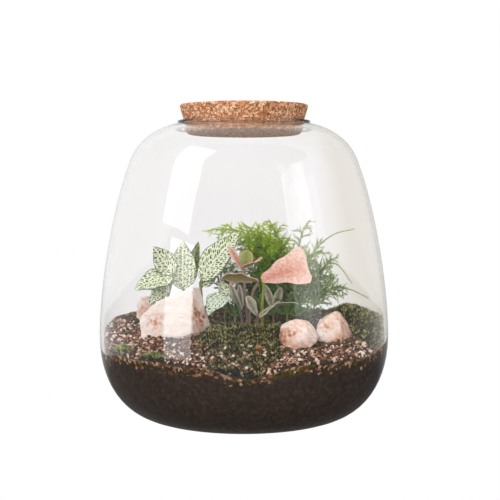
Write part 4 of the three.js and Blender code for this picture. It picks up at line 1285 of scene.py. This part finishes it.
def needle_rings(path, draw, places, breadth):
    """Rings of needles along a path, shorter towards its end."""
    length = sum((b - a).length for a, b in zip(path, path[1:]))
    rings = max(2, int(length / RING_STEP))
    for ring in range(rings + 1):
        share = ring / rings
        at, along = at_share(path, share)
        start = draw.uniform(0, math.tau)
        for number in range(RING_SIZE):
            out = around(along, start + number * math.tau / RING_SIZE + draw.uniform(-0.4, 0.4))
            way = out * draw.uniform(0.5, 1.1) + along * draw.uniform(0.6, 1.3)
            reach = NEEDLE_LENGTH * draw.uniform(0.6, 1.2) * (1 - 0.3 * share)
            if has_room(at + way.normalized() * reach):
                size = (breadth * MM, breadth * MM, reach * MM)
                places.append(placed(at * MM, way, size))


def frond(root, way, seed, sprays, reach, end, breadth):
    """A frond as its stem, the paths of its sprays and twigs, and its needles' places."""
    draw = random.Random(seed)
    rachis = smooth_path(rooted(root, *way), 10)
    paths, places = [], []
    for number in range(sprays):
        share = FIRST_SPRAY + (end - FIRST_SPRAY) * number / (sprays - 1)
        at, along = at_share(rachis, share)
        out = around(along, number * GOLDEN_TURN + draw.uniform(-0.5, 0.5)) + along * draw.uniform(0.5, 0.9)
        out = (out + Vector((0, 0, 0.25))).normalized()
        if number == sprays - 1:
            out = along
        length = reach * (1.15 - 0.8 * share) * draw.uniform(0.75, 1.1)
        while length > SHORTEST_SPRAY and not has_room(at + out * length, 2.5):
            length *= 0.8
        if length <= SHORTEST_SPRAY:
            continue
        sag = Vector((0, 0, -0.15 * length))
        spray = smooth_path([at, at + out * length * 0.5 - sag * 0.3, at + out * length + sag], 4)
        paths.append(spray)
        needle_rings(spray, draw, places, breadth)
        twigs = max(2, int(length / TWIG_STEP))
        for twig in range(twigs):
            foot, forward = at_share(spray, (twig + 0.7) / (twigs + 0.4))
            lean = forward * draw.uniform(0.6, 1.1)
            lean += around(forward, twig * GOLDEN_TURN + draw.uniform(-0.5, 0.5))
            twig_length = draw.uniform(5, 9.5) * (1.1 - 0.5 * twig / twigs)
            tip = foot + lean.normalized() * twig_length
            if has_room(tip):
                paths.append([foot, tip])
                needle_rings(paths[-1], draw, places, breadth)
    needle_rings(rachis[len(rachis) // 2:], draw, places, breadth)
    return rachis, paths, places


# %% Fern needles
FERN_PAINTED_SHADE_BELOW = 112
FERN_PAINTED_LIGHT_ABOVE = 158


def fern_needles(name, stops):
    """Needles that differ in green from tip to tip and from place to place, with painted shade low in the
    clump.
    """
    material, shader = new_material(name, Roughness=0.7, Specular_IOR_Level=0.0)
    place = add_node(material, "TexCoord").outputs["Object"]
    patch = add_node(material, "TexNoise", {"Vector": place, "Scale": 1 / (9 * MM), "Detail": 2.0})
    light = add_node(material, "Math", {0: painted(material, "tip"), 1: 0.35, 2: painted(material, "shade")},
                     operation="MULTIPLY_ADD")
    share = add_node(material, "Math", {0: patch, 1: 1.4, 2: light}, operation="MULTIPLY_ADD")
    # Painted shade and light: the needles are painted darker low in the clump and lighter near its top.
    above = add_node(material, "SeparateXYZ", {0: place})
    height = add_node(material, "MapRange",
                      {"Value": above.outputs["Z"], "From Min": FERN_PAINTED_SHADE_BELOW * MM, "From Max": FERN_PAINTED_LIGHT_ABOVE * MM})
    total = add_node(material, "Math", {0: height, 1: 0.9, 2: share}, operation="MULTIPLY_ADD")
    across = add_node(material, "MapRange", {"Value": total, "From Min": 0.7, "From Max": 2.5})
    green = add_node(material, "ValToRGB", {"Fac": across}, stops=stops)
    join_sockets(material, green, shader.inputs["Base Color"])
    return material


# The young fronds' bright greens are partly painted light.
young_fern_painted_light = fern_needles("Fern needles, young, painted light",
                          {0: "0e2c04", 0.25: "286006", 0.45: "5e9e06", 0.68: "acd414", 1: "e8f45c"})
# The grown fronds' pale greens are a painted reflection of the glass over them.
grown_fern_painted_reflection = fern_needles("Fern needles, grown, painted reflection",
                          {0: "1c3f0a", 0.2: "4f7c22", 0.42: "a6c062", 0.7: "dfe6b0", 1: "f2f4d4"})
shaded_fern = fern_needles("Fern needles, shaded", {0: "0a2403", 0.4: "234d05", 0.8: "4c7d0e", 1: "86b428"})
fern_wire = plain_leaf("Fern stem", {0: "46701a", 1: "94b050"}, 5)
# Twigs are painted the dark green of the shaded needles: painted shade inside the fronds.
fern_twig_painted_shade = plain_leaf("Fern twig, painted shade", {0: "214405", 1: "5c8414"}, 5)

# Each frond has its root, its way up, its number of sprays, how far they reach, and the share of the stem
# at which the last one grows.
FRONDS = {
    "fern_frond_left": ((31, 32), [(30, 33, 110), (20, 30, 142), (-2, 22, 158), (-27, 12, 161)],
                        26, 30, 0.95),
    "fern_frond_crown": ((38, 36), [(37, 38, 112), (34, 40, 140), (28, 38, 158), (22, 34, 169)], 24, 28, 1),
    "fern_frond_back": ((46, 42), [(47, 46, 112), (50, 50, 140), (54, 48, 158), (60, 42, 168)], 18, 22, 0.95),
    "fern_frond_right": ((51, 34), [(54, 36, 112), (64, 36, 140), (80, 31, 155), (99, 22, 161)], 12, 24, 0.6),
    "fern_frond_outer": ((55, 25), [(60, 24, 105), (70, 20, 126), (82, 14, 130), (95, 8, 114)], 18, 24, 0.66),
    "fern_frond_low": ((59, 15), [(65, 13, 98), (77, 9, 108), (92, 4, 109), (108, -2, 102)], 18, 22, 0.62),
    "fern_frond_near": ((42, 20), [(44, 16, 100), (50, 10, 120), (56, 6, 136), (68, 2, 143)], 20, 24, 0.9),
    "fern_frond_inner": ((29, 22), [(22, 24, 102), (10, 27, 120), (-4, 28, 130), (-14, 28, 126)], 24, 26, 1),
    "new_frond_crown": ((34, 44), [(32, 46, 118), (26, 46, 138), (14, 44, 150)], 26, 30, 1),
    "new_frond_arch": ((30, 34), [(24, 36, 116), (12, 32, 138), (0, 30, 147)], 26, 28, 1),
    "new_frond_heart": ((26, 42), [(22, 44, 116), (16, 44, 134), (6, 42, 144)], 26, 28, 1),
    "new_frond_top": ((36, 34), [(35, 36, 118), (31, 36, 142), (20, 30, 155), (2, 24, 159)], 28, 26, 1),
    "new_frond_left": ((12, 28), [(4, 29, 100), (-8, 29, 116), (-20, 26, 124)], 20, 18, 1),
    "new_frond_foot": ((20, 30), [(14, 30, 98), (4, 30, 108), (-12, 28, 114)], 18, 20, 1),
    "new_frond_gap": ((4, 36), [(-2, 36, 92), (-10, 36, 101), (-20, 33, 110)], 12, 14, 1),
    "new_frond_middle": ((36, 40), [(37, 40, 98), (34, 40, 114), (30, 38, 130)], 22, 26, 1),
    "new_frond_wall": ((48, 28), [(50, 28, 98), (58, 24, 110), (70, 20, 116)], 12, 24, 1),
    "new_frond_floor": ((44, 14), [(45, 10, 90), (54, 4, 97), (66, 2, 98)], 14, 16, 1),
}
# Young fronds are partly painted light, shaded ones painted shade, the rest pale with painted reflection.
YOUNG = {"fern_frond_left", "fern_frond_crown", "fern_frond_inner", "new_frond_arch", "new_frond_top"}
SHADED = {"new_frond_crown", "new_frond_heart", "new_frond_middle", "new_frond_foot", "new_frond_gap"}
for number, (node, (root, way, sprays, reach, end)) in enumerate(FRONDS.items()):
    breadth = OLD_NEEDLE_WIDTH if node in SHADED else NEEDLE_WIDTH
    rachis, branches, needles = frond(root, way, 200 + number, sprays, reach, end, breadth)
    green = lay_copies(NEEDLE, needles, number)
    age = young_fern_painted_light if node in YOUNG else shaded_fern if node in SHADED else grown_fern_painted_reflection
    green.data.materials.append(age)
    stem = wires([rachis], FROND_WIRE, 0.4)
    twigs = wires(branches, 0.28, 0.5)
    stem.data.materials.append(fern_wire)
    twigs.data.materials.append(fern_twig_painted_shade)
    replaced = [node] if node.startswith("fern") else []
    hand_over(fuse([green, stem, twigs]), node + "_needles", replaced)

# %% [markdown]
# ## Camera, floor and light
#
# The picture was taken with a short telephoto lens from a little above the plants, so the camera stands
# 940 mm in front of the jar and looks slightly down. A white floor and a white surround are lit evenly.
# What the glass shows is mostly what it mirrors: a tall window high on the left, a bright table below it, a
# pale wall on the right, and the dark end of the room behind the camera. So the surround has three looks. A
# mirrored ray meets the room, which gets lighter from the dark end to the white wall, under a lit ceiling
# and over a dark floor. A ray that has come through the glass meets a white backdrop, greyer to the right.
# And what lights the plants is an even, softer white.

# %% Camera
FOCAL_PIXELS = 1083
PICTURE_WIDTH = 500
SENSOR = 36
LOOKING_DOWN = math.atan(72 / FOCAL_PIXELS)
camera_data = bpy.data.cameras.new("camera")
camera_data.sensor_width = SENSOR
camera_data.lens = SENSOR * FOCAL_PIXELS / PICTURE_WIDTH
camera = bpy.data.objects.new("camera", camera_data)
camera.location = Vector((5.2, -940, 206)) * MM
camera.rotation_euler = (math.pi / 2 - LOOKING_DOWN, 0, 0)
bpy.context.collection.objects.link(camera)
bpy.context.scene.camera = camera

# %% Floor and surround
bpy.ops.object.select_all(action="DESELECT")
bpy.ops.mesh.primitive_circle_add(vertices=96, radius=6, fill_type="NGON", location=(0, 0, -0.0002))
floor = bpy.context.object
floor.name = "floor"
AMBIENT = 0.62
lit_acrylic, acrylic_shader = new_material("White acrylic, lit from below", Base_Color=linear("000000"))
floor_ray = add_node(lit_acrylic, "LightPath")
floor_light = add_node(lit_acrylic, "MapRange",
                       {"Value": floor_ray.outputs["Diffuse Depth"], "To Min": 1.0, "To Max": AMBIENT})
glow = add_node(lit_acrylic, "Emission", {"Strength": floor_light})
join_sockets(lit_acrylic, glow, lit_acrylic.node_tree.nodes["Material Output"].inputs["Surface"])
floor.data.materials.append(lit_acrylic)
floor.visible_glossy = False
floor.visible_transmission = False

scene = bpy.context.scene
scene.view_settings.view_transform = "Standard"
world = bpy.data.worlds.new("white studio")
scene.world = world
world.use_nodes = True
world.cycles.sampling_method = "NONE"
background = world.node_tree.nodes["Background"]
DARK_ROOM = 0.025
WHITE_WALL = 0.9
GREY_SIDE = "efece3"
world_ray = add_node(world, "LightPath")
way_out = add_node(world, "SeparateXYZ", {0: add_node(world, "TexCoord").outputs["Generated"]})
room = add_node(world, "MapRange",
                {"Value": way_out.outputs["Y"], "From Min": 0.0, "From Max": 0.75,
                 "To Min": DARK_ROOM, "To Max": WHITE_WALL})
beside = add_node(world, "MapRange", {"Value": way_out.outputs["X"], "From Min": 0.08, "From Max": 0.125})
through_glass = add_node(world, "Math", {0: beside, 1: world_ray.outputs["Is Transmission Ray"]},
                         operation="MULTIPLY")
backdrop = add_node(world, "MixRGB",
                    {"Fac": through_glass, "Color1": linear("ffffff"), "Color2": linear(GREY_SIDE)})
ceiling = add_node(world, "MapRange",
                   {"Value": way_out.outputs["Z"], "From Min": 0.4, "From Max": 0.8, "To Max": 0.8})
low = add_node(world, "MapRange",
               {"Value": way_out.outputs["Z"], "From Min": -0.3, "From Max": -0.02, "To Min": 0.12})
wall = add_node(world, "Math", {0: room, 1: low}, operation="MULTIPLY")
surround = add_node(world, "Math", {0: wall, 1: ceiling}, operation="MAXIMUM")
right_side = add_node(world, "MapRange",
                      {"Value": way_out.outputs["X"], "From Max": 0.6, "To Min": 1.0, "To Max": 0.6})
room_side = add_node(world, "Math", {0: surround, 1: right_side}, operation="MULTIPLY")
lighting = add_node(world, "Math", {0: world_ray.outputs["Diffuse Depth"], 1: 0.5}, operation="GREATER_THAN")
mirrored = add_node(world, "MixRGB",
                    {"Fac": world_ray.outputs["Is Reflection Ray"], "Color1": backdrop, "Color2": room_side})
seen = add_node(world, "MixRGB", {"Fac": lighting, "Color1": mirrored, "Color2": [AMBIENT] * 3 + [1.0]})
join_sockets(world, seen, background.inputs["Color"])

# %% Windows
def window(name, centre, size, radiance, mirrored=True, lights_up=True):
    """A rectangle of light facing the jar, which the glass mirrors, or which lights what isn't glass."""
    lamp = bpy.data.lights.new(name, "AREA")
    lamp.shape = "RECTANGLE"
    lamp.size, lamp.size_y = size
    lamp.energy = radiance * math.pi * lamp.size * lamp.size_y
    light = bpy.data.objects.new(name, lamp)
    light.location = centre
    light.rotation_euler = (Vector(centre) - Vector((0, 0, 0.12))).to_track_quat("Z", "Y").to_euler()
    light.visible_camera = False
    light.visible_transmission = False
    light.visible_glossy = mirrored
    light.visible_diffuse = lights_up
    bpy.context.collection.objects.link(light)
    return light


window("tall window", (-1.0, -0.6, 1.05), (0.72, 1.1), 3.7)
window("bright table", (-1.15, -0.965, 0.15), (0.59, 0.82), 4.8, lights_up=False)
window("pale wall", (1.1, -0.95, 0.52), (0.6, 1.1), 1.9)
window("pale corner", (1.22, -0.79, 0.5), (0.7, 0.9), 0.8)
window("front light", (-0.45, -1.35, 0.8), (1.3, 1.3), 3.0, mirrored=False)
